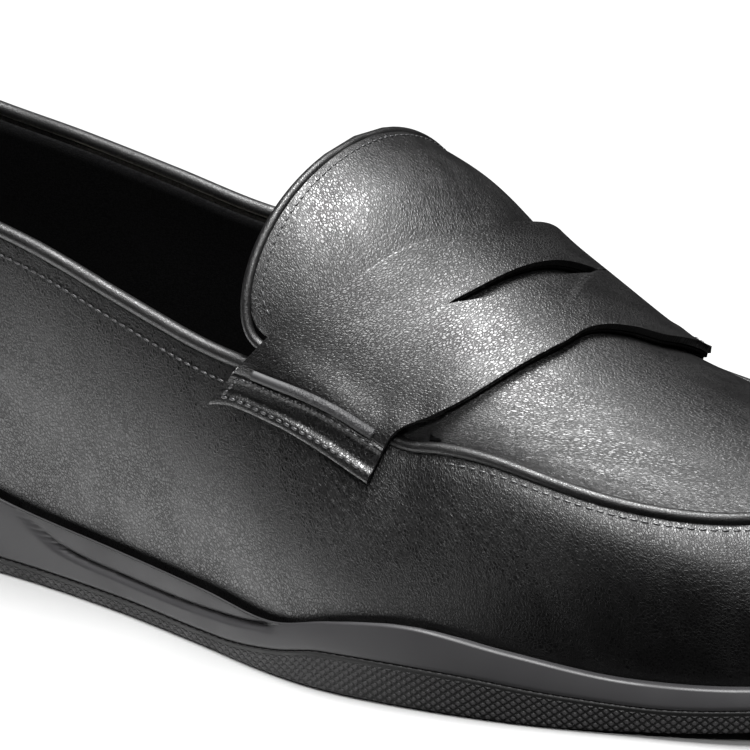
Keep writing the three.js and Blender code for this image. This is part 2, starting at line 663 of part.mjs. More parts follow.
// ---------------------------------------------------------------- penny strap
const SLOT_BACK_EDGE = [[33.6, -20.5], [37.5, -14], [42.5, -4.5], [46, 7.5], [49.5, 17]];
const SLOT_FRONT_EDGE = [[51, 18.5], [49.8, 6], [45.6, -5], [40.4, -15]];
function slotCutter() {
  const outline = [...SLOT_BACK_EDGE, ...SLOT_FRONT_EDGE].map(([x, y]) => new THREE.Vector2(x * SX, y * SY));
  const block = new THREE.ExtrudeGeometry(new THREE.Shape(outline), { depth: UPPER_HEIGHT, bevelEnabled: false });
  block.translate(0, 0, UPPER_HEIGHT / 3);
  return toManifold(block);
}
const withSlot = (geometry) => fromManifold(toManifold(geometry).subtract(slotCutter()));
const strapLayer = (bottom, top) => {
  const face = (a, b) => strapSurface(a, b, top);
  return sheet(face, steps(0, 1, 7), steps(0, 1, 26), 0, top - bottom);
};
const STRAP_TOP = STRAP_LINING + GAP + STRAP_THICKNESS;
add(trim, 'strap_lining', withSlot(strapLayer(0, STRAP_LINING)), LINING_BLACK);
add(trim, 'penny_strap', withSlot(strapLayer(STRAP_LINING + GAP, STRAP_TOP)), LEATHER_BLACK);

// A cord on top of the strap, at a distance from one of its ends, from its back edge to its front edge.
const STRAP_GIRTH = STRAP_END_OUTER + STRAP_END_INNER;
const nearEnd = (side, distance) => (side < 0 ? distance / STRAP_GIRTH : 1 - distance / STRAP_GIRTH);
const RIB_FROM_END = 10;
const RIB_SPAN = [0.14, 0.9];
const ROWS_FROM_END = [2, 6.6];
const ROW_SPAN = [0.06, 0.94];
// The facets of the strap grow with its width, and the clearance over them does too.
const ON_STRAP = STRAP_TOP + GAP * SY ** 2;
[-1, 1].forEach((side) => {
  const word = side < 0 ? 'outer' : 'inner';
  const rib = (t) => strapSurface(
    RIB_SPAN[0] + (RIB_SPAN[1] - RIB_SPAN[0]) * t,
    nearEnd(side, RIB_FROM_END),
    ON_STRAP + GAP + RIB_DIAMETER / 2,
  );
  add(trim, `strap_rib_${word}`, cord(rib, RIB_DIAMETER, 10), EDGE_BLACK);
  const corners = [
    [ROW_SPAN[1], ROWS_FROM_END[1]], [ROW_SPAN[0], ROWS_FROM_END[1]],
    [ROW_SPAN[0], ROWS_FROM_END[0]], [ROW_SPAN[1], ROWS_FROM_END[0]],
  ];
  const row = (t) => {
    const place = t * 3;
    const i = Math.min(Math.floor(place), 2);
    const mix = place - i;
    const a = corners[i][0] + (corners[i + 1][0] - corners[i][0]) * mix;
    const d = corners[i][1] + (corners[i + 1][1] - corners[i][1]) * mix;
    return strapSurface(a, nearEnd(side, d), ON_STRAP + THREAD_DIAMETER / 2);
  };
  add(trim, `strap_thread_${word}`, cord(row, THREAD_DIAMETER, 24, THREAD_SIDES), THREAD_BLACK);
});

// ---------------------------------------------------------------- cords and stitching on the edges
const PIPING_START = 0.16;
const PIPING_LIFT = 0.3;
const mirrored = (t) => (t < 0.5 ? [-1, 2 * t] : [1, 2 - 2 * t]);
const piping = (t) => {
  const [side, half] = mirrored(t);
  const point = seamRim(side, PIPING_START + (2 - PIPING_START) * half);
  return point.setZ(point.z + PIPING_LIFT);
};
add(trim, 'seam_piping', cord(piping, PIPING_DIAMETER, 48), EDGE_BLACK);

const BEAD_END = 8.2 / STATIONS;
const topBead = (t) => {
  const [side, half] = mirrored(t);
  const s = BEAD_END * (1 - half);
  const out = outward(side, s);
  return topEdge(side, s).addScaledVector(out, -LEATHER / 2);
};
add(trim, 'topline_bead', cord(topBead, BEAD_DIAMETER, 48), EDGE_BLACK);

const TONGUE_BEAD_SPAN = [0.35, 2.65];
const tongueBead = (t) => {
  const point = tongueRim(TONGUE_BEAD_SPAN[0] + (TONGUE_BEAD_SPAN[1] - TONGUE_BEAD_SPAN[0]) * t);
  return point.setZ(point.z - LEATHER / 2);
};
add(trim, 'tongue_bead', cord(tongueBead, TONGUE_BEAD_DIAMETER, 40), EDGE_BLACK);

const THREAD_LIFT = GAP + THREAD_DIAMETER / 2;
function liftedWall(side, s, trimTop) {
  const t = topTrim(s, trimTop);
  const h = 1e-3;
  const ds = wall(side, s + h, t).sub(wall(side, s - h, t));
  const dt = wall(side, s, t + h).sub(wall(side, s, t - h));
  const normal = ds.cross(dt).normalize().multiplyScalar(-side);
  return wall(side, s, t).addScaledVector(normal, THREAD_LIFT);
}
const SEAM_THREAD_FROM_EDGE = 4.4;
const SEAM_THREAD_OUTER = 10.7 / STATIONS;
const SEAM_THREAD_INNER = 12.6 / STATIONS;
const seamThread = (t) => {
  const [side, half] = mirrored(t);
  const from = side < 0 ? SEAM_THREAD_OUTER : SEAM_THREAD_INNER;
  return liftedWall(side, from + (1 - from) * half, SEAM_THREAD_FROM_EDGE);
};
add(trim, 'seam_thread', cord(seamThread, THREAD_DIAMETER, 40, THREAD_SIDES), THREAD_BLACK);
const TOPLINE_THREAD_FROM_EDGE = 4.6;
const TOPLINE_THREAD_END = 7.6 / STATIONS;
[-1, 1].forEach((side) => {
  const word = side < 0 ? 'outer' : 'inner';
  const from = BACKSTAY_REACH + 2 * PIECE_GAP;
  const topThread = (t) => liftedWall(side, from + (TOPLINE_THREAD_END - from) * t, TOPLINE_THREAD_FROM_EDGE);
  add(trim, `topline_thread_${word}`, cord(topThread, THREAD_DIAMETER, 22, THREAD_SIDES), THREAD_BLACK);
});
const TONGUE_THREAD_FROM_EDGE = 4.2;
const tongueThread = (t) => {
  const v = -0.9 + 1.8 * t;
  const point = apron(0.004, v, TONGUE_THREAD_FROM_EDGE);
  return point.setZ(point.z + THREAD_LIFT * 1.3);
};
add(trim, 'tongue_thread', cord(tongueThread, THREAD_DIAMETER, 30, THREAD_SIDES), THREAD_BLACK);

export default shoe;
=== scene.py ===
import math
from bisect import bisect_right

import bmesh
import bpy
from mathutils import Matrix, Vector


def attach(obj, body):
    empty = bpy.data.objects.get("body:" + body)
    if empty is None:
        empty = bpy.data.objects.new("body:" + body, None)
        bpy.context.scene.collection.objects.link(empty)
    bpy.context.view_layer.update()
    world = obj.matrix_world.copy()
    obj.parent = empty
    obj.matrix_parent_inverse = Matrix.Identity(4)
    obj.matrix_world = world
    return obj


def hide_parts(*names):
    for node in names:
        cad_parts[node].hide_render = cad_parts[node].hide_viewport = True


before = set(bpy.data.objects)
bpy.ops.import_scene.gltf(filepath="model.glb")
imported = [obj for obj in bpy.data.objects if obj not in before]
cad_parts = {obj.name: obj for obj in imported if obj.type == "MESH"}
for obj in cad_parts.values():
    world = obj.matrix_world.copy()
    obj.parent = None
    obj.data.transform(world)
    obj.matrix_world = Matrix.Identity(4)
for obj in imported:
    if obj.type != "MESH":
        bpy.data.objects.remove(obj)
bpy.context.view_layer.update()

# ---------------------------------------------------------------- studio
# A paper floor, one large soft light over the shoe and a narrow one in front of its toe. The camera
# stands on the outer side of the foot, a little to the front, and looks down at the instep.
scene = bpy.context.scene
scene.view_settings.view_transform = "Standard"

view_turn = math.radians(26)
view_rise = math.radians(24.5)
view_target = Vector((0.00653, 0.00248, 0.045))
VIEW_DISTANCE = 0.9
view_way = Vector((
    math.sin(view_turn) * math.cos(view_rise),
    -math.cos(view_turn) * math.cos(view_rise),
    math.sin(view_rise),
))
camera = bpy.data.objects.new("studio_camera", bpy.data.cameras.new("studio_camera"))
camera.location = view_target + view_way * VIEW_DISTANCE
camera.rotation_euler = view_way.to_track_quat("Z", "Y").to_euler()
camera.data.lens = 203.04
camera.data.sensor_width = 36
scene.collection.objects.link(camera)
scene.camera = camera


def soft_light(name, place, aim, width, height, watts):
    lamp = bpy.data.lights.new(name, "AREA")
    lamp.shape = "RECTANGLE"
    lamp.size = width
    lamp.size_y = height
    lamp.energy = watts
    light = bpy.data.objects.new(name, lamp)
    light.location = place
    way = Vector(place) - Vector(aim)
    light.rotation_euler = way.to_track_quat("Z", "Y").to_euler()
    scene.collection.objects.link(light)


soft_light("light_over", (0.12, 0, 1.25), (0.1, 0, 0), 0.75, 0.5, 64)
soft_light("light_front", (0.4, -0.7, 0.93), (0, 0, 0.05), 0.6, 0.25, 10)


def set_inputs(node, **values):
    """Sets a node's inputs by name, with _ for each space."""
    for label, value in values.items():
        node.inputs[label.replace("_", " ")].default_value = value


# The backdrop is white where the camera sees it and nearly dark for everything else.
BACKDROP_DARK = 0.02
BACKDROP_WHITE = 1.2
studio = bpy.data.worlds.new("studio")
studio.use_nodes = True
backdrop = studio.node_tree.nodes["Background"]
seen = studio.node_tree.nodes.new("ShaderNodeLightPath")
glow = studio.node_tree.nodes.new("ShaderNodeMapRange")
set_inputs(glow, To_Min=BACKDROP_DARK, To_Max=BACKDROP_WHITE)
studio.node_tree.links.new(seen.outputs["Is Camera Ray"], glow.inputs["Value"])
studio.node_tree.links.new(glow.outputs[0], backdrop.inputs["Strength"])
set_inputs(backdrop, Color=(1, 1, 1, 1))
scene.world = studio

PAPER_HALF = 0.1
PAPER_FRONT = 0.0
PAPER_FADE = 0.06
PAPER_TONE = 0.29
PAPER_WHITE = 0.93
SWEEP_FROM = 0.22
SWEEP_TO = 0.8
floor_mesh = bmesh.new()
bmesh.ops.create_grid(floor_mesh, x_segments=1, y_segments=1, size=4)
floor_data = bpy.data.meshes.new("floor")
floor_mesh.to_mesh(floor_data)
floor_mesh.free()
floor = bpy.data.objects.new("floor", floor_data)
scene.collection.objects.link(floor)


def new_material(name, colour, roughness, metallic=0.0):
    made = bpy.data.materials.new(name)
    made.use_nodes = True
    shader = made.node_tree.nodes["Principled BSDF"]
    set_inputs(shader, Base_Color=(*colour, 1), Roughness=roughness, Metallic=metallic)
    return made, made.node_tree, shader


def new_nodes(tree, *kinds):
    return [tree.nodes.new(kind) for kind in kinds]


def maths(tree, operation, first, second, third=None):
    """A Math node, fed with numbers or sockets."""
    node = tree.nodes.new("ShaderNodeMath")
    node.operation = operation
    for socket, feed in zip(node.inputs, (first, second, third)):
        if feed is None:
            continue
        if isinstance(feed, (int, float)):
            socket.default_value = feed
        else:
            tree.links.new(feed, socket)
    return node.outputs[0]


def blend_between(tree, value, low, high, to_low=0.0, to_high=1.0):
    node = tree.nodes.new("ShaderNodeMapRange")
    node.interpolation_type = "SMOOTHSTEP"
    set_inputs(node, From_Min=low, From_Max=high, To_Min=to_low, To_Max=to_high)
    tree.links.new(value, node.inputs["Value"])
    return node.outputs[0]


MIX_LOW = 6
MIX_HIGH = 7
MIX_RESULT = 2


def colour_between(tree, share, low, high):
    """A colour from low to high, by a socket that runs from 0 to 1."""
    mix = tree.nodes.new("ShaderNodeMix")
    mix.data_type = "RGBA"
    mix.inputs[MIX_LOW].default_value = (*low, 1)
    mix.inputs[MIX_HIGH].default_value = (*high, 1)
    tree.links.new(share, mix.inputs["Factor"])
    return mix.outputs[MIX_RESULT]


# Reflections see white paper under the back half of the shoe and black elsewhere. All other rays see
# a mid tone, which keeps the contact shadow, and the camera sees the far floor fade up to white.
floor_paint, tree, shader = new_material("floor_paper", (PAPER_WHITE, PAPER_WHITE, PAPER_WHITE), 0.9)
set_inputs(shader, Specular_IOR_Level=0, Emission_Color=(1, 1, 1, 1))
place, parts, rays = new_nodes(
    tree, "ShaderNodeNewGeometry", "ShaderNodeSeparateXYZ", "ShaderNodeLightPath")
tree.links.new(place.outputs["Position"], parts.inputs["Vector"])
to_side = maths(tree, "ABSOLUTE", parts.outputs["Y"], 0)
paper = maths(
    tree, "MULTIPLY",
    blend_between(tree, to_side, PAPER_HALF, PAPER_HALF + PAPER_FADE, 1, 0),
    blend_between(tree, parts.outputs["X"], PAPER_FRONT, PAPER_FRONT + PAPER_FADE, 1, 0))
mirrored = maths(tree, "MULTIPLY", paper, rays.outputs["Is Glossy Ray"])
not_mirrored = maths(tree, "SUBTRACT", 1, rays.outputs["Is Glossy Ray"])
direct = maths(tree, "MULTIPLY", not_mirrored, PAPER_TONE)
tone = maths(tree, "MULTIPLY_ADD", mirrored, PAPER_WHITE, direct)
tree.links.new(tone, shader.inputs["Base Color"])
from_shoe = tree.nodes.new("ShaderNodeVectorMath")
from_shoe.operation = "LENGTH"
tree.links.new(place.outputs["Position"], from_shoe.inputs[0])
sweep = blend_between(tree, from_shoe.outputs["Value"], SWEEP_FROM, SWEEP_TO)
faded = maths(tree, "MULTIPLY", sweep, rays.outputs["Is Camera Ray"])
tree.links.new(faded, shader.inputs["Emission Strength"])
floor_data.materials.append(floor_paint)

# ---------------------------------------------------------------- outsole
# Moulded rubber in the outline of the foot. Its side is knurled in small diamonds, its edge climbs
# up under the ball, and its toe springs clear of the ground.
MM = 0.001


def through(points):
    """Smooth function of one number through a list of (x, y)."""
    xs = [p[0] for p in points]
    ys = [p[1] for p in points]
    last = len(xs) - 1

    def slope(i):
        low, high = max(i - 1, 0), min(i + 1, last)
        return (ys[high] - ys[low]) / (xs[high] - xs[low])

    slopes = [slope(i) for i in range(last + 1)]

    def value(x):
        x = min(max(x, xs[0]), xs[last])
        i = min(bisect_right(xs, x) - 1, last - 1)
        h = xs[i + 1] - xs[i]
        u = (x - xs[i]) / h
        v = 1 - u
        return (
            v * v * (1 + 2 * u) * ys[i] + u * u * (3 - 2 * u) * ys[i + 1]
            + h * u * v * (v * slopes[i] - u * slopes[i + 1])
        )

    return value


def along(points):
    """Smooth curve in space through points, followed from 0 to 1."""
    count = len(points) - 1
    axes = [through([(i / count, p[k]) for i, p in enumerate(points)]) for k in range(3)]
    return lambda s: Vector((axes[0](s), axes[1](s), axes[2](s)))


OUTER_PLAN = [
    (-150, 0, 27), (-146, -19, 27), (-133, -31, 26.5), (-109, -35.5, 25), (-84, -36.8, 22),
    (-59, -38.2, 16.3), (-33, -42.3, 13.8), (-10, -47.8, 12.6), (8, -52.6, 11.6), (23, -54.6, 15.6),
    (41, -53.6, 17.8), (62, -50.4, 15), (85, -44.6, 11.6), (109, -37.8, 12), (131, -27.5, 14.5),
    (145, -14, 17), (150, 2, 18),
]
INNER_PLAN = [
    (-150, 0, 27), (-146, 19, 27), (-133, 31, 26.5), (-109, 34.5, 25), (-84, 33.8, 22),
    (-59, 32.2, 16.3), (-33, 32.8, 13.8), (-10, 36.6, 12.6), (12, 41.4, 12.2), (34, 45.8, 15),
    (57, 48.4, 15.2), (80, 48, 13), (102, 43.6, 11.8), (123, 34.6, 13.2), (138, 24.5, 15.6),
    (147, 13.5, 17.2), (150, 2, 18),
]
STATIONS = len(OUTER_PLAN) - 1


def half_plan(half, other):
    curve = along([other[1], *half, other[STATIONS - 1]])
    return lambda s: curve((s * STATIONS + 1) / (STATIONS + 2))


plan_halves = {-1: half_plan(OUTER_PLAN, INNER_PLAN), 1: half_plan(INNER_PLAN, OUTER_PLAN)}


def plan_point(side, s):
    """side is -1 for the outer half and 1 for the inner one, s runs from 0 at the heel to 1 at the toe."""
    if s < 0:
        return plan_point(-side, -s)
    if s > 1:
        return plan_point(-side, 2 - s)
    return plan_halves[side](s)


def plan_out(side, s):
    way = plan_point(side, s + 0.004) - plan_point(side, s - 0.004)
    return Vector((-side * way.y, side * way.x, 0)).normalized()


def plan_inset(side, s, inset):
    return plan_point(side, s) - plan_out(side, s) * inset


def sole_point(side, s, inset, height):
    return plan_inset(side, s, inset).xy.to_3d() + Vector((0, 0, height))


def ring_place(a):
    """a is 0 at the heel, 1 at the toe round the outer side, and 2 at the heel again."""
    turn = a % 2
    return (-1, turn) if turn <= 1 else (1, 2 - turn)


def ground_height(x):
    return 9 * (max(x - 70, 0) / 80) ** 1.6


seat_height = through([
    (-150, 16.5), (-100, 16), (-60, 12.6), (-30, 10), (0, 8.7), (60, 8.7), (90, 8.9), (120, 11), (150, 14),
])
band_height = through([
    (-150, 4.4), (-64, 3.9), (-30, 3.8), (-4, 3.9), (10, 6.2), (22, 9.2), (50, 9.6), (73, 7.8), (91, 6.9),
    (109, 8.2), (130, 10), (150, 12.4),
])


def finish_piece(bm, name, nodes, paint):
    """Turns a mesh in millimetres into a finished piece of the shoe, in place of its CAD nodes."""
    bmesh.ops.scale(bm, vec=(MM, MM, MM), verts=bm.verts)
    for face in bm.faces:
        face.smooth = True
    data = bpy.data.meshes.new(name)
    bm.to_mesh(data)
    bm.free()
    data.materials.append(paint)
    piece = bpy.data.objects.new(name, data)
    scene.collection.objects.link(piece)
    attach(piece, "root")
    if nodes:
        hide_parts(*nodes)
    return piece


def lay_sheet(bm, face, across, up, measure_row=0.5):
    """A grid moved on to the surface face(u, v).

    Its UV map is in millimetres: the way along, and the way up to the last edge.
    """
    made = bmesh.ops.create_grid(bm, x_segments=across, y_segments=up, size=0.5)
    place = {}
    spot = {}
    for vert in made["verts"]:
        i = round((vert.co.x + 0.5) * across)
        j = round((vert.co.y + 0.5) * up)
        place[vert] = (i, j)
        vert.co = face(i / across, j / up)
        spot[i, j] = vert.co
    row = round(measure_row * up)
    length = [0.0]
    for i in range(across):
        length.append(length[-1] + (spot[i + 1, row] - spot[i, row]).length)
    height = {}
    for i in range(across + 1):
        height[i, up] = 0.0
        for j in range(up - 1, -1, -1):
            height[i, j] = height[i, j + 1] + (spot[i, j + 1] - spot[i, j]).length
    layer = bm.loops.layers.uv.verify()
    faces = {f for vert in made["verts"] for f in vert.link_faces}
    for f in faces:
        for loop in f.loops:
            i, j = place[loop.vert]
            loop[layer].uv = (length[i], height[i, j])
    return made["verts"]


def close_loops(bm, distance=0.01):
    bmesh.ops.remove_doubles(bm, verts=bm.verts, dist=distance)
    rims = [e for e in bm.edges if e.is_boundary]
    if rims:
        bmesh.ops.holes_fill(bm, edges=rims, sides=0)
        caps = [f for f in bm.faces if len(f.verts) > 4]
        bmesh.ops.triangulate(bm, faces=caps)
    bmesh.ops.recalc_face_normals(bm, faces=bm.faces)


def new_group(name, inputs, outputs):
    """An empty shader group with named number or vector sockets."""
    group = bpy.data.node_groups.new(name, "ShaderNodeTree")
    for label, kind, start in inputs:
        socket = group.interface.new_socket(name=label, in_out="INPUT", socket_type=kind)
        if start is not None:
            socket.default_value = start
    for label, kind in outputs:
        group.interface.new_socket(name=label, in_out="OUTPUT", socket_type=kind)
    return group, group.nodes.new("NodeGroupInput"), group.nodes.new("NodeGroupOutput")


def stretched_noise(tree, vector, stretch, scale, detail=2.0, roughness=0.5):
    mapping, noise = new_nodes(tree, "ShaderNodeMapping", "ShaderNodeTexNoise")
    set_inputs(mapping, Scale=stretch)
    tree.links.new(vector, mapping.inputs["Vector"])
    tree.links.new(mapping.outputs["Vector"], noise.inputs["Vector"])
    set_inputs(noise, Scale=scale, Detail=detail, Roughness=roughness)
    return noise.outputs["Fac"]


def use_group(tree, group, **values):
    node = tree.nodes.new("ShaderNodeGroup")
    node.node_tree = group
    for label, value in values.items():
        socket = node.inputs[label.replace("_", " ")]
        if isinstance(value, (int, float, tuple)):
            socket.default_value = value
        else:
            tree.links.new(value, socket)
    return node


def bump_into(tree, shader, *layers):
    """Bump nodes in a chain: each layer is (height socket, distance in millimetres)."""
    before = None
    for height, depth in layers:
        bump = tree.nodes.new("ShaderNodeBump")
        set_inputs(bump, Strength=1.0, Distance=depth * MM)
        tree.links.new(height, bump.inputs["Height"])
        if before is not None:
            tree.links.new(before, bump.inputs["Normal"])
        before = bump.outputs["Normal"]
    tree.links.new(before, shader.inputs["Normal"])


# Moulding texture: the fine matt speckle that a rubber or plastic mould leaves.
speckle, speckle_in, speckle_out = new_group(
    "moulded_speckle", [("Vector", "NodeSocketVector", None)],
    [("Height", "NodeSocketFloat"), ("Wear", "NodeSocketFloat")],
)
speckle.links.new(
    stretched_noise(speckle, speckle_in.outputs["Vector"], (1, 1, 1), 3200, 2), speckle_out.inputs["Height"])
speckle.links.new(
    stretched_noise(speckle, speckle_in.outputs["Vector"], (1, 1, 1), 90, 4), speckle_out.inputs["Wear"])

outsole_rubber, tree, shader = new_material("outsole_rubber", (0.009, 0.0087, 0.009), 0.6)
set_inputs(shader, Specular_IOR_Level=0.25)
uv, coords = new_nodes(tree, "ShaderNodeUVMap", "ShaderNodeTexCoord")
parts = tree.nodes.new("ShaderNodeSeparateXYZ")
tree.links.new(uv.outputs["UV"], parts.inputs["Vector"])
run, rise = parts.outputs["X"], parts.outputs["Y"]
DIAMOND_LENGTH = 2.1
DIAMOND_HEIGHT = 1.8
steep = maths(tree, "MULTIPLY", rise, DIAMOND_LENGTH / DIAMOND_HEIGHT)
turn = math.pi / DIAMOND_LENGTH
one = maths(tree, "SINE", maths(tree, "MULTIPLY", maths(tree, "ADD", run, steep), turn), 0)
two = maths(tree, "SINE", maths(tree, "MULTIPLY", maths(tree, "SUBTRACT", run, steep), turn), 0)
lattice = maths(tree, "MULTIPLY", maths(tree, "ABSOLUTE", one, 0), maths(tree, "ABSOLUTE", two, 0))
lattice = blend_between(tree, lattice, 0.05, 0.75)
on_side = blend_between(tree, rise, 0.9, 1.3)
lattice = maths(tree, "MULTIPLY", lattice, on_side)
grit = use_group(tree, speckle, Vector=coords.outputs["Object"])
bump_into(tree, shader, (lattice, 0.42), (grit.outputs["Height"], 0.02))
# Painted shade: the knurl's base colour is darker down in its grooves and lighter on the diamond tops.
knurl_painted_shade = colour_between(tree, lattice, (0.006, 0.006, 0.006), (0.03, 0.029, 0.03))
tree.links.new(knurl_painted_shade, shader.inputs["Base Color"])
tree.links.new(blend_between(tree, grit.outputs["Wear"], 0.3, 0.7, 0.56, 0.7), shader.inputs["Roughness"])

outsole = bmesh.new()
SOLE_TURNS = 440
EDGE_ROUND = 1.0
SIDE_DRAFT = 0.35
TREAD_WIDTH = 6
LEDGE_WIDTH = 1.8


def outsole_side(u, v):
    side, s = ring_place(2 * u)
    edge = plan_point(side, s)
    low = ground_height(edge.x)
    high = band_height(edge.x)
    height = (high - low) * v
    tuck = EDGE_ROUND * (1 - math.sqrt(max(1 - (1 - min(height / EDGE_ROUND, 1)) ** 2, 0)))
    return sole_point(side, s, tuck + SIDE_DRAFT * (1 - v), low + height)


def outsole_tread(u, v):
    side, s = ring_place(2 * u)
    point = plan_inset(side, s, EDGE_ROUND + SIDE_DRAFT + TREAD_WIDTH * (1 - v))
    return Vector((point.x, point.y, ground_height(point.x)))


def outsole_ledge(u, v):
    side, s = ring_place(2 * u)
    return sole_point(side, s, LEDGE_WIDTH * v, band_height(plan_point(side, s).x))


lay_sheet(outsole, outsole_tread, SOLE_TURNS, 2)
lay_sheet(outsole, outsole_side, SOLE_TURNS, 14)
lay_sheet(outsole, outsole_ledge, SOLE_TURNS, 1)
close_loops(outsole)
finish_piece(outsole, "rubber_outsole", ["outsole"], outsole_rubber)

# ---------------------------------------------------------------- midsole
# One satin rubber moulding between outsole and upper. Its rolled lip holds the foot of the upper,
# and along the waist a long leaf-shaped facet is let into its side below the lip.
LIP_DRAFT = 1.2
LIP_WIDTH = 2.2
FOOT_INSET = LIP_DRAFT + LIP_WIDTH + 0.3
SOLE_GAP = 0.25
UNDER_WIDTH = 2.6
LEAF_START = -60
LEAF_END = 11
LEAF_FADE_BACK = 14
LEAF_FADE_FRONT = 5
LEAF_DEPTH = 1.15
LEAF_HEIGHT = 2.4
GROOVE_DEPTH = 0.8
leaf_line = through([
    (-60, 16.2), (-55, 13.6), (-47, 9.9), (-32, 8.4), (-15, 8), (-1, 8.9), (7, 10.4), (11, 11.8),
])
lip_width = through([(-150, 0.6), (20, 0.6), (38, 1.0), (55, 1.7), (150, 1.9)])


def leaf_share(x):
    """1 along the waist where the facet is full, 0 beyond its two points."""
    opened = min(max((x - LEAF_START) / LEAF_FADE_BACK, 0), 1)
    return opened * min(max((LEAF_END - x) / LEAF_FADE_FRONT, 0), 1)


def midsole_side(u, v):
    side, s = ring_place(2 * u)
    edge = plan_point(side, s)
    x = edge.x
    low = band_height(x) + SOLE_GAP
    high = edge.z
    z = low + (high - low) * v
    inset = LIP_DRAFT * v ** 1.5 + SOLE_GAP * math.exp(-((z - low) / 0.5) ** 2)
    share = leaf_share(x)
    if share > 0:
        groove = leaf_line(x)
        below = z - groove
        if below > 0:
            inset += share * LEAF_DEPTH * math.exp(-(below / LEAF_HEIGHT))
        inset += share * GROOVE_DEPTH * math.exp(-(below / (1.3 - 0.8 * share)) ** 2)
    return sole_point(side, s, inset, z)


def midsole_lip(u, v):
    """Over the lip, along its ledge and down against the upper."""
    side, s = ring_place(2 * u)
    edge = plan_point(side, s)
    width = lip_width(edge.x)
    inset = LIP_DRAFT + (FOOT_INSET - 0.15 - LIP_DRAFT) * v
    over = inset - LIP_DRAFT
    rounded = 0.35 * math.sin(min(over / 0.8, 1) * math.pi / 2)
    drop = 3.2 * max((over - width) / 1.0, 0) ** 1.3
    z = max(edge.z + rounded - drop, seat_height(edge.x) + 0.2)
    return sole_point(side, s, inset, z)


def midsole_under(u, v):
    side, s = ring_place(2 * u)
    edge = plan_point(side, s)
    return sole_point(side, s, SOLE_GAP + UNDER_WIDTH * (1 - v), band_height(edge.x) + SOLE_GAP)


midsole = bmesh.new()
lay_sheet(midsole, midsole_under, SOLE_TURNS, 1)
lay_sheet(midsole, midsole_side, SOLE_TURNS, 40)
lay_sheet(midsole, midsole_lip, SOLE_TURNS, 10)
close_loops(midsole)
midsole_rubber, tree, shader = new_material("midsole_rubber", (0.025, 0.0245, 0.0257), 0.45)
set_inputs(shader, Specular_IOR_Level=0.25)
coords = tree.nodes.new("ShaderNodeTexCoord")
grit = use_group(tree, speckle, Vector=coords.outputs["Object"])
bump_into(tree, shader, (grit.outputs["Height"], 0.012))
tree.links.new(blend_between(tree, grit.outputs["Wear"], 0.3, 0.7, 0.38, 0.5), shader.inputs["Roughness"])
finish_piece(midsole, "rubber_midsole", ["midsole"], midsole_rubber)

# ---------------------------------------------------------------- vamp and quarters
# One piece of fine-grained calf leather wraps the foot from the sole's lip up to the topline and to
# the raised seam round the apron. It is lasted, so it is smooth and tight, and puckers at its stitches.
TONGUE_BACK = 2.5
TONGUE_CORNER = 12
TONGUE_SQUARENESS = 5
THROAT_X = 24
APRON_MID = 60
APRON_FRONT = 117
TOE_SQUARENESS = 2.3
crown_centre = through([(-10, 2), (30, 1.2), (60, 1), (90, 2.5), (120, 4.5)])
crown_half = through([(-10, 40), (30, 39.2), (60, 38.5), (80, 38), (100, 37), (117, 36)])
crown_top = through([
    (-10, 104), (4, 98), (17, 92.5), (32, 82), (46, 74.5), (55, 69.8), (67, 63.8), (85, 56),
    (104, 48.5), (117, 44),
])
crown_radius = through([
    (-10, 42.5), (1, 42.3), (35, 41.4), (43, 43), (67, 56.8), (85, 63), (104, 66), (120, 70),
])
crown_fall = through([(30, 0), (45, 1.5), (55, 3.6), (67, 5.6), (77, 5), (90, 3.5), (105, 1.8), (117, 0.4)])
crown_skew = through([(-10, 0.22), (20, 0.2), (40, 0.12), (60, 0.05), (90, 0.02), (120, 0)])
crown_bow = through([(-10, 0.001), (20, 0.001), (60, 0.0008), (90, 0), (120, 0)])


def crown(x, q):
    """The instep: x along the foot, q from -1 to 1 across it."""
    d = crown_half(x) * q
    radius = crown_radius(x)
    drop = radius - math.sqrt(max(radius * radius - d * d, 1))
    inner = min(max((d + 8) / 46, 0), 1)
    drop += crown_fall(x) * inner * inner * (3 - 2 * inner)
    return Vector((x + crown_skew(x) * d - crown_bow(x) * d * d, crown_centre(x) + d, crown_top(x) - drop))


def rounded(value, power):
    return max(1 - abs(value) ** power, 0) ** (1 / power)


def seam_rim(side, r):
    """The apron's rim: r is 0 at the throat, 1 where the toe's curve starts and 2 at the toe."""
    if r <= 1:
        return crown(THROAT_X + (APRON_MID - THROAT_X) * r, side)
    angle = (r - 1) * math.pi / 2
    power = 2 / TOE_SQUARENESS
    q = max(math.cos(angle), 0) ** power
    return crown(APRON_MID + (APRON_FRONT - APRON_MID) * math.sin(angle) ** power, side * q)


THROAT = 9 / STATIONS
rim_at = through([
    (i / STATIONS, r)
    for i, r in ((9, 0), (10, 0.38), (11, 0.85), (12, 1.149), (13, 1.359), (14, 1.586), (15, 1.794), (16, 2))
])
TOPLINE_OUTER = [
    (-139, 0, 92), (-135.5, -14, 91.3), (-124, -24, 89.5), (-102, -30, 86.5), (-78, -33, 82.3),
    (-55, -34.6, 77.2), (-33, -36, 69.8), (-15, -37.4, 64.2), (-1, -38.2, 61.6),
]
TOPLINE_INNER = [
    (-139, 0, 92), (-135.5, 14, 91), (-124, 23.5, 88), (-102, 27.5, 80.5), (-78, 27.5, 76.4),
    (-55, 27.5, 71.8), (-33, 28, 66.8), (-14, 31.5, 63.4), (2, 37, 61.4),
]


def topline(half, other, side):
    points = [other[1], *half, seam_rim(side, 0), seam_rim(side, 0.38)]
    curve = along(points)
    return lambda s: curve((s * STATIONS + 1) / (len(points) - 1))


toplines = {-1: topline(TOPLINE_OUTER, TOPLINE_INNER, -1), 1: topline(TOPLINE_INNER, TOPLINE_OUTER, 1)}


def top_edge(side, s):
    return seam_rim(side, rim_at(s)) if s >= THROAT else toplines[side](s)


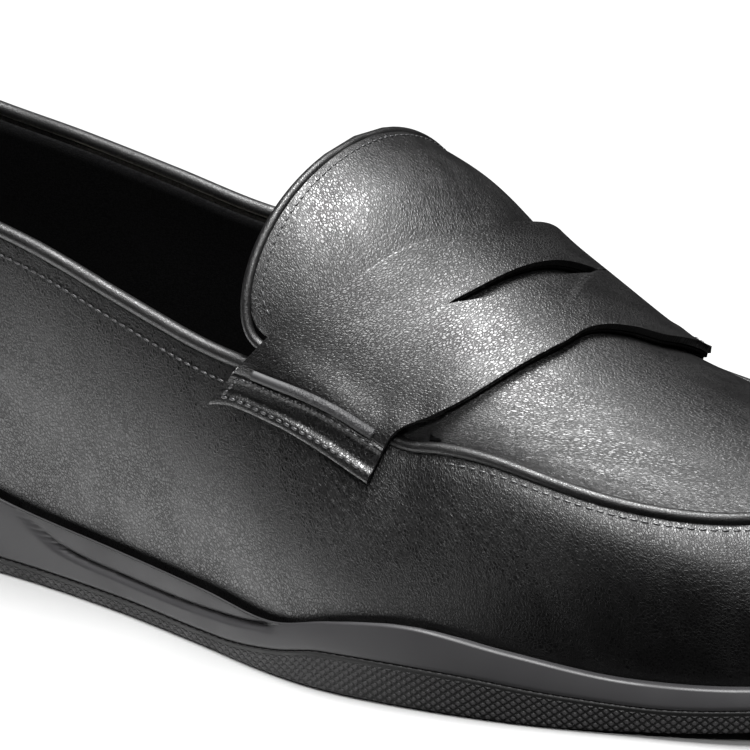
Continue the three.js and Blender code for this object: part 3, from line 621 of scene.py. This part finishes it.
wall_rise = through([(0, 26), (0.4, 20), (0.6, 17), (0.8, 15), (1, 13)])
wall_spread = through([(0, 1.5), (0.3, 2), (0.5, 5), (0.62, 8), (0.8, 10), (1, 11)])
wall_fall = through([(0, 24), (0.3, 18), (0.5, 15), (0.62, 10), (0.8, 6), (1, 4)])


def wall_curve(side, s):
    """The four control points of the upper's profile at one station."""
    foot = plan_inset(side, s, FOOT_INSET)
    foot.z = seat_height(foot.x) + 0.3
    top = top_edge(side, s)
    low = foot + Vector((0, 0, wall_rise(s)))
    high = top + plan_out(side, s) * wall_spread(s) - Vector((0, 0, wall_fall(s)))
    return foot, low, high, top


def bezier(points, t):
    a, b, c, d = points
    u = 1 - t
    return a * (u * u * u) + b * (3 * u * u * t) + c * (3 * u * t * t) + d * (t * t * t)


def wall(side, s, t):
    return bezier(wall_curve(side, s), t)


def top_share(s, trim):
    """How far up the profile a point lies that is trim millimetres below the top edge."""
    return 1 - trim / (3 * math.hypot(wall_spread(s), wall_fall(s)))


WALL_TURNS = 420
wall_profiles = {}


def wall_at(a, t, trim=0.0):
    key = round(a * 1e6)
    if key not in wall_profiles:
        side, s = ring_place(a)
        wall_profiles[key] = (wall_curve(side, s), s)
    profile, s = wall_profiles[key]
    return bezier(profile, top_share(s, trim) * t)


def wall_normal(a, t, trim=0.0):
    h = 0.002
    run = wall_at(a + h, t, trim) - wall_at(a - h, t, trim)
    up = wall_at(a, t + h, trim) - wall_at(a, t - h, trim)
    return run.cross(up).normalized()


# Leather grain: small flat pebbles parted by fine folds, a net of longer creases over them, and soft
# clouds where the hide is looser. Pores is 1 down in a fold and 0 on a pebble.
grain, grain_in, grain_out = new_group(
    "leather_grain",
    [("Vector", "NodeSocketVector", None), ("Crease", "NodeSocketFloat", 0.5)],
    [("Height", "NodeSocketFloat"), ("Pores", "NodeSocketFloat"), ("Cloud", "NodeSocketFloat")],
)


def wandering(tree, vector, scale, amount):
    """Shifts a vector by smooth noise, so that cells lose their straight sides."""
    bend = tree.nodes.new("ShaderNodeTexNoise")
    set_inputs(bend, Scale=scale, Detail=2)
    tree.links.new(vector, bend.inputs["Vector"])
    shifted = tree.nodes.new("ShaderNodeMixRGB")
    shifted.blend_type = "LINEAR_LIGHT"
    set_inputs(shifted, Fac=amount)
    tree.links.new(vector, shifted.inputs["Color1"])
    tree.links.new(bend.outputs["Color"], shifted.inputs["Color2"])
    return shifted.outputs["Color"]


def fold_net(tree, vector, scale, width):
    """1 in the folds between cells and 0 on the cells."""
    cells = tree.nodes.new("ShaderNodeTexVoronoi")
    cells.feature = "DISTANCE_TO_EDGE"
    set_inputs(cells, Scale=scale)
    tree.links.new(vector, cells.inputs["Vector"])
    return blend_between(tree, cells.outputs["Distance"], 0, width, 1, 0)


loose = wandering(grain, grain_in.outputs["Vector"], scale=0.9, amount=0.5)
pebbles = fold_net(grain, loose, scale=1.5, width=0.24)
looser = wandering(grain, grain_in.outputs["Vector"], scale=0.5, amount=1.4)
creases = fold_net(grain, looser, scale=0.42, width=0.09)
cloud = stretched_noise(grain, grain_in.outputs["Vector"], (1, 1, 1), 0.09, 3)
tight = blend_between(grain, cloud, 0.35, 0.65, 0.75, 1)
fine = stretched_noise(grain, loose, (1, 1, 1), 3.2, 2, 0.6)
folds = maths(grain, "MULTIPLY", pebbles, tight)
long_folds = maths(grain, "MULTIPLY", creases, grain_in.outputs["Crease"])
deep = maths(grain, "MAXIMUM", folds, long_folds)
low = maths(grain, "MULTIPLY_ADD", long_folds, 0.6, folds)
raised = maths(grain, "SUBTRACT", 1, low)
grain.links.new(maths(grain, "MULTIPLY_ADD", fine, 0.5, raised), grain_out.inputs["Height"])
grain.links.new(deep, grain_out.inputs["Pores"])
grain.links.new(cloud, grain_out.inputs["Cloud"])

# Pucker: the leather draws in under each stitch and swells between two of them.
pucker, pucker_in, pucker_out = new_group(
    "stitch_pucker",
    [("Along", "NodeSocketFloat", 0.0), ("Away", "NodeSocketFloat", 0.0), ("Pitch", "NodeSocketFloat", 2.2),
     ("Width", "NodeSocketFloat", 1.4)],
    [("Height", "NodeSocketFloat")],
)
phase = maths(pucker, "DIVIDE", pucker_in.outputs["Along"], pucker_in.outputs["Pitch"])
wave = maths(pucker, "COSINE", maths(pucker, "MULTIPLY", phase, 2 * math.pi), 0)
near = maths(pucker, "DIVIDE", pucker_in.outputs["Away"], pucker_in.outputs["Width"])
near = maths(pucker, "EXPONENT", maths(pucker, "MULTIPLY", maths(pucker, "MULTIPLY", near, near), -1), 0)
dip = maths(pucker, "MULTIPLY_ADD", wave, 0.45, -0.55)
pucker.links.new(maths(pucker, "MULTIPLY", dip, near), pucker_out.inputs["Height"])

# What the folds add to the roughness, and how much of the gloss the lacquer on the pebbles carries.
FOLD_DULLS = 0.3
COAT_SHARE = 0.9


def leather(
    name, colour, roughness, stretch, grain_depth, crease, rows=(), row_depth=0.5, gloss=0.4,
):
    """Black leather on the piece's own UV map in millimetres.

    rows are sewn rows: (distance from the edge, pitch, back end, front end).
    """
    made, tree, shader = new_material(name, colour, roughness)
    uv, mapping, parts = new_nodes(tree, "ShaderNodeUVMap", "ShaderNodeMapping", "ShaderNodeSeparateXYZ")
    set_inputs(mapping, Scale=(*stretch, 1))
    tree.links.new(uv.outputs["UV"], mapping.inputs["Vector"])
    tree.links.new(uv.outputs["UV"], parts.inputs["Vector"])
    skin = use_group(tree, grain, Vector=mapping.outputs["Vector"], Crease=crease)
    layers = [(skin.outputs["Height"], grain_depth)]
    if rows:
        coords, where = new_nodes(tree, "ShaderNodeTexCoord", "ShaderNodeSeparateXYZ")
        tree.links.new(coords.outputs["Object"], where.inputs["Vector"])
    for edge, pitch, back, front in rows:
        away = maths(tree, "SUBTRACT", parts.outputs["Y"], edge)
        drawn = use_group(tree, pucker, Along=parts.outputs["X"], Away=away, Pitch=pitch)
        ahead = maths(tree, "GREATER_THAN", where.outputs["X"], back)
        behind = maths(tree, "LESS_THAN", where.outputs["X"], front)
        held = maths(tree, "MULTIPLY", drawn.outputs["Height"], maths(tree, "MULTIPLY", ahead, behind))
        layers.append((held, row_depth))
    bump_into(tree, shader, *layers)
    shine = blend_between(tree, skin.outputs["Cloud"], 0.3, 0.7, roughness - 0.02, roughness + 0.03)
    dulled = maths(tree, "MULTIPLY_ADD", skin.outputs["Pores"], FOLD_DULLS, shine)
    tree.links.new(dulled, shader.inputs["Roughness"])
    # Painted shade: the base colour is darker down in the grain's folds and lighter on the pebbles.
    fold_painted_shade = colour_between(
        tree, skin.outputs["Pores"], [c * 1.25 for c in colour], [c * 0.7 for c in colour])
    tree.links.new(fold_painted_shade, shader.inputs["Base Color"])
    set_inputs(shader, Specular_IOR_Level=gloss, Coat_Roughness=roughness + 0.1)
    lacquer = blend_between(tree, skin.outputs["Pores"], 0.1, 0.8, COAT_SHARE * gloss, 0)
    tree.links.new(lacquer, shader.inputs["Coat Weight"])
    return made


BLACK = (0.0012, 0.0011, 0.0012)
LEATHER_THICK = 1.3
PIPING = 2.6
BEAD = 3.1
TUCK = 0.6
SEAM_PITCH = 2.3
TOPLINE_PITCH = 2.1
vamp_leather = leather(
    "vamp_leather", BLACK, 0.27, (1.2, 0.8), 0.045, 0.5, row_depth=0.07,
    rows=[(1.9, SEAM_PITCH, 0.03, 1), (4.3, TOPLINE_PITCH, -1, 0.02)],
)


def vamp_face(u, v):
    return wall_at(2 * u, v, TUCK)


def thicken(piece, thickness, edge_round=0.0):
    """Gives a sheet its thickness inwards, and rounds its cut edges."""
    wall_mod = piece.modifiers.new("thickness", "SOLIDIFY")
    wall_mod.thickness = thickness * MM
    wall_mod.offset = -1
    if edge_round:
        ease = piece.modifiers.new("edges", "BEVEL")
        ease.width = edge_round * MM
        ease.segments = 3
        ease.limit_method = "ANGLE"
        ease.angle_limit = math.radians(50)


vamp = bmesh.new()
lay_sheet(vamp, vamp_face, WALL_TURNS, 46, 0.8)
bmesh.ops.remove_doubles(vamp, verts=vamp.verts, dist=0.01)
vamp_piece = finish_piece(vamp, "leather_vamp", ["vamp"], vamp_leather)
thicken(vamp_piece, LEATHER_THICK)

# ---------------------------------------------------------------- linings
# Thin matt leather inside the upper: a grip at the heel, two quarters and the vamp lining. Each
# follows the upper at one depth and stops short of its top edge.
lining_leather = leather("lining_leather", (0.0015, 0.0015, 0.0016), 0.75, (1.1, 1.1), 0.05, 0.3, gloss=0.04)
LINING_DEPTH = 3.1
LINING_THICK = 0.9
LINING_FOOT = 0.06


def lining_face(start, end, trim):
    def face(u, v):
        a = start + (end - start) * u
        t = LINING_FOOT + (1 - LINING_FOOT) * v
        return wall_at(a, t, trim) - wall_normal(a, min(t, 0.99), trim) * LINING_DEPTH

    return face


for name, node, start, end, trim, turns in (
    ("lining_heel_grip", "heel_grip", -0.1, 0.1, 1.4, 30),
    ("lining_quarter_outer", "quarter_lining_outer", 0.103, 0.5, 1.4, 70),
    ("lining_quarter_inner", "quarter_lining_inner", 1.5, 1.897, 1.4, 70),
    ("lining_vamp", "vamp_lining", 0.503, 1.497, 6.0, 150),
):
    lining = bmesh.new()
    lay_sheet(lining, lining_face(start, end, trim), turns, 20)
    piece = finish_piece(lining, name, [node], lining_leather)
    thicken(piece, LINING_THICK)

# ---------------------------------------------------------------- apron and tongue
# The plate over the instep, cut in one with the tongue that stands up behind it. The skin is pulled
# lengthwise over the last, so its grain opens into fine creases along the foot.
apron_leather = leather("apron_leather", BLACK, 0.28, (0.75, 1.15), 0.05, 0.6)


def apron_back(q):
    return TONGUE_BACK + TONGUE_CORNER * (1 - rounded(q, TONGUE_SQUARENESS))


def apron_front(q):
    return APRON_MID + (APRON_FRONT - APRON_MID) * rounded(q, TOE_SQUARENESS)


def apron_at(u, v, margin):
    q = math.sin(v * math.pi / 2)
    back = apron_back(q) + margin
    front = apron_front(q) - margin
    return crown(back + (front - back) * u, q * (1 - margin / crown_half(APRON_MID)))


def apron_face(u, v):
    return apron_at(u, 2 * v - 1, TUCK)


apron = bmesh.new()
lay_sheet(apron, apron_face, 170, 120)
apron_piece = finish_piece(apron, "leather_apron", ["apron"], apron_leather)
thicken(apron_piece, LEATHER_THICK)


def apron_under(u, v):
    low, high = apron_at(u, 2 * v - 1, 1.9), apron_at(u + 0.002, 2 * v - 1, 1.9)
    beside = apron_at(u, 2 * v - 0.998, 1.9)
    return low - (high - low).cross(beside - low).normalized() * (LEATHER_THICK + 0.6)


apron_lining = bmesh.new()
lay_sheet(apron_lining, apron_under, 60, 40)
piece = finish_piece(apron_lining, "lining_apron", ["apron_lining"], lining_leather)
thicken(piece, LINING_THICK)

# ---------------------------------------------------------------- rolled edges
# Thin leather rolled over cord: the piping in the seam round the apron, the bead along the topline
# and the finer bead round the tongue.
roll_leather = leather("rolled_leather", (0.003, 0.0029, 0.003), 0.27, (1.6, 1.2), 0.03, 0.5)


def lay_cord(bm, path, radius, turns, around=14):
    """A tube along path(t), t from 0 to 1, with flat ends."""
    spots = [path(i / turns) for i in range(turns + 1)]
    ways = []
    for i in range(turns + 1):
        ways.append((spots[min(i + 1, turns)] - spots[max(i - 1, 0)]).normalized())
    side = ways[0].orthogonal().normalized()
    frames = []
    for way in ways:
        side = (side - way * side.dot(way)).normalized()
        frames.append((side.copy(), way.cross(side)))

    def face(u, v):
        i = round(u * turns)
        across, over = frames[i]
        angle = 2 * math.pi * v
        return spots[i] + (across * math.cos(angle) + over * math.sin(angle)) * radius

    verts = lay_sheet(bm, face, turns, around)
    bmesh.ops.remove_doubles(bm, verts=verts, dist=0.005)
    rims = [e for e in bm.edges if e.is_boundary]
    bmesh.ops.holes_fill(bm, edges=rims, sides=0)
    bmesh.ops.recalc_face_normals(bm, faces=bm.faces)


PIPING_START = 0.16
PIPING_LIFT = 0.3
BEAD_OUTER_END = 8.2
BEAD_INNER_END = 8.75
TONGUE_CORD = 2.2
TONGUE_START = 0.35
TONGUE_SPAN = 2.5


def both_halves(t):
    return (-1, 2 * t) if t < 0.5 else (1, 2 - 2 * t)


def piping_path(t):
    side, half = both_halves(t)
    point = seam_rim(side, PIPING_START + (2 - PIPING_START) * half)
    return point + Vector((0, 0, PIPING_LIFT))


def bead_path(t):
    side, half = both_halves(t)
    s = (BEAD_OUTER_END if side < 0 else BEAD_INNER_END) / STATIONS * (1 - half)
    return top_edge(side, s) - plan_out(side, s) * LEATHER_THICK / 2


def tongue_rim(r):
    corner = TONGUE_BACK + TONGUE_CORNER
    if r <= 1:
        return crown(THROAT_X + (corner - THROAT_X) * r, -1)
    if r >= 2:
        return crown(corner + (THROAT_X - corner) * (r - 2), 1)
    angle = (r - 1) * math.pi
    power = 2 / TONGUE_SQUARENESS
    q = -math.copysign(abs(math.cos(angle)) ** power, math.cos(angle))
    return crown(corner - TONGUE_CORNER * math.sin(angle) ** power, q)


def tongue_path(t):
    return tongue_rim(TONGUE_START + TONGUE_SPAN * t) - Vector((0, 0, LEATHER_THICK / 2))


for name, node, path, diameter, turns in (
    ("piping_apron_seam", "seam_piping", piping_path, PIPING, 420),
    ("bead_topline", "topline_bead", bead_path, BEAD, 420),
    ("bead_tongue", "tongue_bead", tongue_path, TONGUE_CORD, 300),
):
    cord = bmesh.new()
    lay_cord(cord, path, diameter / 2, turns)
    finish_piece(cord, name, [node], roll_leather)

# ---------------------------------------------------------------- penny strap
# A saddle of the same leather over the instep, backed with thin leather and sewn down at both ends.
# The eye-shaped slot lies across its middle, and each end has a pressed channel.


def wall_at_x(side, x, t):
    low, high = 0.2, 0.9
    for _ in range(20):
        mid = (low + high) / 2
        if wall(side, mid, t).x < x:
            low = mid
        else:
            high = mid
    return wall(side, (low + high) / 2, t)


def crown_at_x(x, q):
    low, high = -40.0, APRON_FRONT
    for _ in range(22):
        mid = (low + high) / 2
        if crown(mid, q).x < x:
            low = mid
        else:
            high = mid
    return crown((low + high) / 2, q)


GIRTH_STEP = 2
GIRTH_REACH = 88
FIELD_STEP = 4
FIELD_BACK = -24
FIELD_FRONT = 92


def section(x):
    """The upper cut across at x: points from the outer foot over the instep to the inner foot."""
    shares = [0.3 + 0.68 * i / 12 for i in range(13)]
    outer = [wall_at_x(-1, x, t) for t in shares]
    inner = [wall_at_x(1, x, t) for t in reversed(shares)]
    arch = [crown_at_x(x, math.sin((i / 12 - 1) * math.pi / 2)) for i in range(25)]
    arch = [p for p in arch if p.z > (inner[0].z if p.y > 0 else outer[-1].z) + 1.5]
    line = [*outer, *arch, *inner]
    for _ in range(2):
        line = [
            p if i in (0, len(line) - 1) else p * 0.5 + (line[i - 1] + line[i + 1]) * 0.25
            for i, p in enumerate(line)
        ]
    seams = (len(outer) - 0.5, len(line) - len(inner) - 0.5)
    return line, seams


def girth_row(x):
    """The same section at even steps of girth from its ridge, and the girths of its two seams."""
    line, seams = section(x)
    lengths = [0.0]
    for a, b in zip(line, line[1:]):
        lengths.append(lengths[-1] + (b - a).length)
    ridge = max(range(len(line)), key=lambda i: line[i].z)
    start = lengths[ridge]
    axes = [through([(lengths[i] - start, line[i][k]) for i in range(len(line))]) for k in range(3)]
    row = [
        Vector((axes[0](w), axes[1](w), axes[2](w)))
        for w in range(-GIRTH_REACH, GIRTH_REACH + 1, GIRTH_STEP)
    ]
    girths = [(lengths[math.floor(i)] + lengths[math.ceil(i)]) / 2 - start for i in seams]
    return row, girths


field = [girth_row(x) for x in range(FIELD_BACK, FIELD_FRONT + 1, FIELD_STEP)]
for _ in range(2):
    rows = [row for row, _ in field]
    field = [
        ([
            rows[k][j] * 0.5 + (rows[max(k - 1, 0)][j] + rows[min(k + 1, len(rows) - 1)][j]) * 0.25
            for j in range(len(rows[k]))
        ] if 0 < k < len(rows) - 1 else rows[k], seams)
        for k, (_, seams) in enumerate(field)
    ]


def cubic_weights(f):
    return (
        -0.5 * f + f * f - 0.5 * f ** 3, 1 - 2.5 * f * f + 1.5 * f ** 3,
        0.5 * f + 2 * f * f - 1.5 * f ** 3, -0.5 * f * f + 0.5 * f ** 3,
    )


def on_upper(x, w):
    """The upper at x along the foot and girth w from the ridge."""
    cx = (x - FIELD_BACK) / FIELD_STEP
    cw = (w + GIRTH_REACH) / GIRTH_STEP
    k = min(max(int(cx), 1), len(field) - 3)
    j = min(max(int(cw), 1), len(field[0][0]) - 3)
    wx = cubic_weights(cx - k)
    ww = cubic_weights(cw - j)
    point = Vector((0, 0, 0))
    for a in range(4):
        row = field[k - 1 + a][0]
        for b in range(4):
            point += row[j - 1 + b] * (wx[a] * ww[b])
    return point


STRAP_STANDOFF = 0.8
STRAP_LINING_THICK = 0.6
STRAP_PASTE = 0.3
STRAP_THICK = 1.5
STRAP_TOP = STRAP_LINING_THICK + STRAP_PASTE + STRAP_THICK
CORD_RIDE = 1.3
CORD_REACH = 5


def strap_lift(x, w):
    """The strap rides over the seam cords."""
    cx = (x - FIELD_BACK) / FIELD_STEP
    k = min(max(int(cx), 0), len(field) - 2)
    f = cx - k
    low = field[k][1][0] * (1 - f) + field[k + 1][1][0] * f
    high = field[k][1][1] * (1 - f) + field[k + 1][1][1] * f
    away = w - low if w < 0 else w - high
    return STRAP_STANDOFF + CORD_RIDE * math.exp(-((away / CORD_REACH) ** 2))


strap_back = through([
    (-75, -9), (-67, -3.8), (-58, 1.5), (-48, 7.5), (-38, 14.5), (-24, 21.5), (-12, 28), (0, 33),
    (12, 35.5), (30, 35), (50, 31), (75, 25),
])
strap_front = through([
    (-75, 27), (-68, 28), (-60, 30), (-54, 32.5), (-46, 38), (-29, 48.5), (-15, 55.5), (-5, 58.5),
    (6, 64), (14, 69), (30, 71), (42, 68.5), (50, 65), (75, 58),
])
SLOT_FROM = -26.8
SLOT_FROM_X = 33.2
SLOT_TO = 18.5
SLOT_TO_X = 50
slot_back = through([
    (SLOT_FROM, SLOT_FROM_X), (-17.8, 37), (-4.2, 41.5), (7, 45.2), (15.8, 48.8), (SLOT_TO, SLOT_TO_X),
])
slot_front = through([
    (SLOT_FROM, SLOT_FROM_X), (-21, 37.2), (-15.8, 40.2), (-6, 44.5), (5.2, 48.5), (13, 50),
    (SLOT_TO, SLOT_TO_X),
])


def strap_middle(w, front):
    """Where the back band of the strap meets its front band."""
    if SLOT_FROM < w < SLOT_TO:
        return slot_front(w) if front else slot_back(w)
    at, x = (SLOT_FROM, SLOT_FROM_X) if w <= SLOT_FROM else (SLOT_TO, SLOT_TO_X)
    share = (x - strap_back(at)) / (strap_front(at) - strap_back(at))
    return strap_back(w) + (strap_front(w) - strap_back(w)) * share


def strap_ends(share):
    """The girths of the outer and the inner end, at a share of the strap's width."""
    return -75 + 6.5 * share, 66 - 14 * share


def strap_place(a, b, front):
    """a runs across one band from back to front, b from the outer end to the inner end."""
    share = (1 + a) / 2 if front else a / 2
    w0, w1 = strap_ends(share)
    w = w0 + (w1 - w0) * b
    middle = strap_middle(w, front)
    low, high = (middle, strap_front(w)) if front else (strap_back(w), middle)
    return low + (high - low) * a, w, min(w - w0, w1 - w)


CHANNEL_DEPTH = 0.8
CHANNEL_PLACE = 4.8
CHANNEL_HALF = 2.3
CREASE_DEPTH = 0.4
CREASE_PLACE = 8.4
CREASE_HALF = 0.35
TURNED_EDGE = 0.8
OVERLAP_X = 48.8
OVERLAP_W = 18.8
OVERLAP_REACH = 16
OVERLAP_HEIGHT = 0.75


def strap_relief(x, w, end):
    """The channel and crease pressed in near the ends, the turned edge and the overlap at the slot."""
    relief = -CHANNEL_DEPTH * math.exp(-((end - CHANNEL_PLACE) / CHANNEL_HALF) ** 8)
    relief -= CREASE_DEPTH * math.exp(-((end - CREASE_PLACE) / CREASE_HALF) ** 2)
    relief -= 0.35 * max(1 - end / TURNED_EDGE, 0) ** 2
    across = (x - OVERLAP_X) * 0.993 + (w - OVERLAP_W) * 0.12
    down = (x - OVERLAP_X) * 0.12 - (w - OVERLAP_W) * 0.993
    if 0 < across < OVERLAP_REACH:
        raised = min(across / 0.5, 1) * (1 - across / OVERLAP_REACH) ** 2
        faded = min(max((24 - down) / 14, 0), 1)
        relief += OVERLAP_HEIGHT * raised * faded * min(max((22 - w) / 3.5, 0), 1)
    return relief


def strap_surface(x, w, lift):
    h = 0.6
    base = on_upper(x, w)
    run = on_upper(x + h, w) - on_upper(x - h, w)
    over = on_upper(x, w + h) - on_upper(x, w - h)
    return base + run.cross(over).normalized() * (strap_lift(x, w) + lift)


def strap_layer(lift, pressed, along_turns, across_turns):
    """Both bands of one layer of the strap, with or without its pressed relief."""
    def band(front):
        def face(u, v):
            x, w, end = strap_place(v, u, front)
            return strap_surface(x, w, lift + (strap_relief(x, w, end) if pressed else 0))

        return face

    layer = bmesh.new()
    for front in (False, True):
        lay_sheet(layer, band(front), along_turns, across_turns)
    bmesh.ops.remove_doubles(layer, verts=layer.verts, dist=0.02)
    bmesh.ops.reverse_faces(layer, faces=layer.faces)
    return layer


strap_leather = leather("strap_leather", BLACK, 0.28, (0.7, 1.3), 0.055, 0.4)
strap = strap_layer(STRAP_TOP, True, 300, 26)
strap_piece = finish_piece(strap, "leather_penny_strap", ["penny_strap"], strap_leather)
thicken(strap_piece, STRAP_THICK, 0.35)

backing = strap_layer(STRAP_LINING_THICK, False, 120, 12)
backing_piece = finish_piece(
    backing, "lining_penny_strap", ["strap_lining"], lining_leather)
thicken(backing_piece, STRAP_LINING_THICK)

# ---------------------------------------------------------------- strap ribs
# A raised roll pressed over a cord just inside each sewn end of the strap, cut square at both ends
# and finely pebbled except at its back end.
RIB_PLACE = 10
RIB_RADIUS = 1.15
RIB_SINK = 0.1
rib_leather, tree, shader = new_material("rib_leather", (0.012, 0.012, 0.013), 0.6)
uv, parts = new_nodes(tree, "ShaderNodeUVMap", "ShaderNodeSeparateXYZ")
tree.links.new(uv.outputs["UV"], parts.inputs["Vector"])
knurl = stretched_noise(tree, uv.outputs["UV"], (1.6, 0.9, 1), 1.6, 2)
worn_in = blend_between(tree, parts.outputs["X"], 5, 12)
bump_into(tree, shader, (maths(tree, "MULTIPLY", knurl, worn_in), 0.35))


def strap_edge_place(share, side, distance):
    """A place on the strap at a share of its width and a distance in from one of its ends."""
    outer_end, inner_end = strap_ends(share)
    w = outer_end + distance if side < 0 else inner_end - distance
    return strap_back(w) + (strap_front(w) - strap_back(w)) * share, w


for side, word, rib_span in ((-1, "outer", 0.8), (1, "inner", 0.5)):
    def rib_path(t):
        x, w = strap_edge_place(0.1 + rib_span * t, side, RIB_PLACE)
        return strap_surface(x, w, STRAP_TOP - RIB_SINK)

    rib = bmesh.new()
    lay_cord(rib, rib_path, RIB_RADIUS, 60)
    finish_piece(rib, f"strap_rib_roll_{word}", [f"strap_rib_{word}"], rib_leather)

# ---------------------------------------------------------------- stitching
# Waxed black thread in rows along the seam, the topline, the tongue and the strap's ends. Each stitch
# is a short fat bead that dips into the leather at both ends.
thread_wax, tree, shader = new_material("waxed_thread", (0.03, 0.03, 0.031), 0.35)
coords = tree.nodes.new("ShaderNodeTexCoord")
twist = stretched_noise(tree, coords.outputs["Object"], (1, 1, 1), 2600, 2)
bump_into(tree, shader, (twist, 0.06))


SEW_SAMPLES = 400


def sew(name, nodes, path, pitch, length, width):
    """Stitches along path(t), which gives a point and the normal of the leather there."""
    samples = [path(i / SEW_SAMPLES) for i in range(SEW_SAMPLES + 1)]
    distance = [0.0]
    for (a, _), (b, _) in zip(samples, samples[1:]):
        distance.append(distance[-1] + (b - a).length)
    count = int(distance[-1] / pitch)
    bm = bmesh.new()
    for n in range(count):
        goal = (n + 0.5) * pitch
        i = min(bisect_right(distance, goal), SEW_SAMPLES)
        share = (goal - distance[i - 1]) / max(distance[i] - distance[i - 1], 1e-9)
        point = samples[i - 1][0].lerp(samples[i][0], share)
        normal = samples[i][1]
        way = (samples[i][0] - samples[i - 1][0]).normalized()
        across = normal.cross(way).normalized()
        basis = Matrix((way * length, across * width, normal * width * 0.8)).transposed().to_4x4()
        bmesh.ops.create_icosphere(bm, subdivisions=2, radius=0.5, matrix=Matrix.Translation(point) @ basis)
    return finish_piece(bm, name, nodes, thread_wax)


def wall_row(trim, start, end, lift=0.1):
    def path(t):
        a = start + (end - start) * t
        return wall_at(a, 1, trim) + wall_normal(a, 1, trim) * lift, wall_normal(a, 1, trim)

    return path


sew("stitches_seam", ["seam_thread"], wall_row(2.5, 0.66, 1.21), SEAM_PITCH, 1.6, 0.45)
sew("stitches_topline_outer", ["topline_thread_outer"], wall_row(4.9, 0.04, 0.49), TOPLINE_PITCH, 1.6, 0.5)
sew("stitches_topline_inner", ["topline_thread_inner"], wall_row(4.9, 1.51, 1.96), TOPLINE_PITCH, 1.6, 0.5)


TONGUE_ROW = 2.1
TONGUE_ROW_REACH = 0.93


def tongue_row(t):
    v = -TONGUE_ROW_REACH + 2 * TONGUE_ROW_REACH * t
    point = apron_at(0.003, v, TONGUE_ROW)
    run = apron_at(0.01, v, TONGUE_ROW) - point
    beside = apron_at(0.003, v + 0.002, TONGUE_ROW) - point
    normal = run.cross(beside).normalized()
    return point + normal * 0.12, normal


sew("stitches_tongue", ["tongue_thread"], tongue_row, 1.9, 1.4, 0.45)

# The strap's rows as (share of its width, distance from its end): along, across and back again.
STRAP_CORNERS = ((0.95, 7.5), (0.05, 7.5), (0.05, 1.9), (0.95, 1.9))
for side, word in ((-1, "outer"), (1, "inner")):
    def strap_row(t):
        place = t * 3
        i = min(int(place), 2)
        mix = place - i
        (share, inwards), (next_share, next_inwards) = STRAP_CORNERS[i:i + 2]
        share += (next_share - share) * mix
        inwards += (next_inwards - inwards) * mix
        x, w = strap_edge_place(share, side, inwards)
        point = strap_surface(x, w, STRAP_TOP + 0.05)
        normal = (strap_surface(x, w, STRAP_TOP + 1) - point).normalized()
        return point, normal

    sew(f"stitches_strap_{word}", [f"strap_thread_{word}"], strap_row, 1.9, 1.5, 0.7)

# ---------------------------------------------------------------- backstay
# A narrow leather strip that covers the back seam. It starts a quarter of the way up the heel and
# stops just under the bead of the topline.
BACKSTAY_HALF = 0.035
BACKSTAY_FOOT = 0.25
BACKSTAY_TRIM = 2.9
BACKSTAY_LIFT = 1.4


def backstay_face(u, v):
    a = -BACKSTAY_HALF + 2 * BACKSTAY_HALF * u
    t = BACKSTAY_FOOT + (1 - BACKSTAY_FOOT) * v
    out = wall_normal(a, min(t, 0.99), BACKSTAY_TRIM)
    return wall_at(a, t, BACKSTAY_TRIM) + out * BACKSTAY_LIFT


backstay = bmesh.new()
lay_sheet(backstay, backstay_face, 24, 40)
backstay_piece = finish_piece(backstay, "leather_backstay", ["backstay"], strap_leather)
thicken(backstay_piece, 1.1, 0.3)

# ---------------------------------------------------------------- inside the shoe
# What the foot stands on: board, foam and a leather sock. The layers below and between are hidden,
# and keep the plain finish of their stuff.
sock_leather = leather("sock_leather", (0.0015, 0.0015, 0.0016), 0.75, (1.2, 1.2), 0.06, 0.4, gloss=0.04)


SOCK_INSET = 10.5
SOCK_TOE_INSET = 2.4
SOCK_HEIGHT = 9.1


def sock_face(u, v):
    s = 0.002 + 0.996 * u
    inset = SOCK_INSET + SOCK_TOE_INSET * s ** 12
    outer = plan_inset(-1, s, inset)
    inner = plan_inset(1, s, inset)
    point = outer.lerp(inner, v)
    edge = 1.0 * (2 * abs(v - 0.5)) ** 4
    return Vector((point.x, point.y, seat_height(point.x) + SOCK_HEIGHT + edge))


sock = bmesh.new()
lay_sheet(sock, sock_face, 120, 24)
sock_piece = finish_piece(sock, "leather_sock", ["sock_liner"], sock_leather)
thicken(sock_piece, 0.8)


def plain_stuff(name, colour, roughness, metallic, scale, depth, nodes, stretch=(1, 1, 1)):
    made, tree, shader = new_material(name, colour, roughness, metallic)
    coords = tree.nodes.new("ShaderNodeTexCoord")
    body = stretched_noise(tree, coords.outputs["Object"], stretch, scale, 5, 0.6)
    bump_into(tree, shader, (body, depth))
    mottle = colour_between(tree, body, [c * 0.6 for c in colour], [min(c * 1.3, 1) for c in colour])
    tree.links.new(mottle, shader.inputs["Base Color"])
    for node in nodes:
        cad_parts[node].data.materials.clear()
        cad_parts[node].data.materials.append(made)


plain_stuff("board_fibre", (0.42, 0.27, 0.14), 0.85, 0, 420, 0.1, ["insole_board"])
plain_stuff("footbed_foam", (0.1, 0.1, 0.105), 0.95, 0, 900, 0.3, ["footbed_foam"])
plain_stuff("filler_cork", (0.46, 0.3, 0.16), 0.9, 0, 500, 0.4, ["bottom_filler"])
plain_stuff("shank_steel", (0.42, 0.43, 0.44), 0.35, 1, 300, 0.02, ["shank"], (1, 12, 12))
plain_stuff(
    "stiffener_fibre", (0.7, 0.66, 0.58), 0.85, 0, 700, 0.1,
    ["heel_counter", "toe_puff", "side_reinforcement_outer", "side_reinforcement_inner"],
)
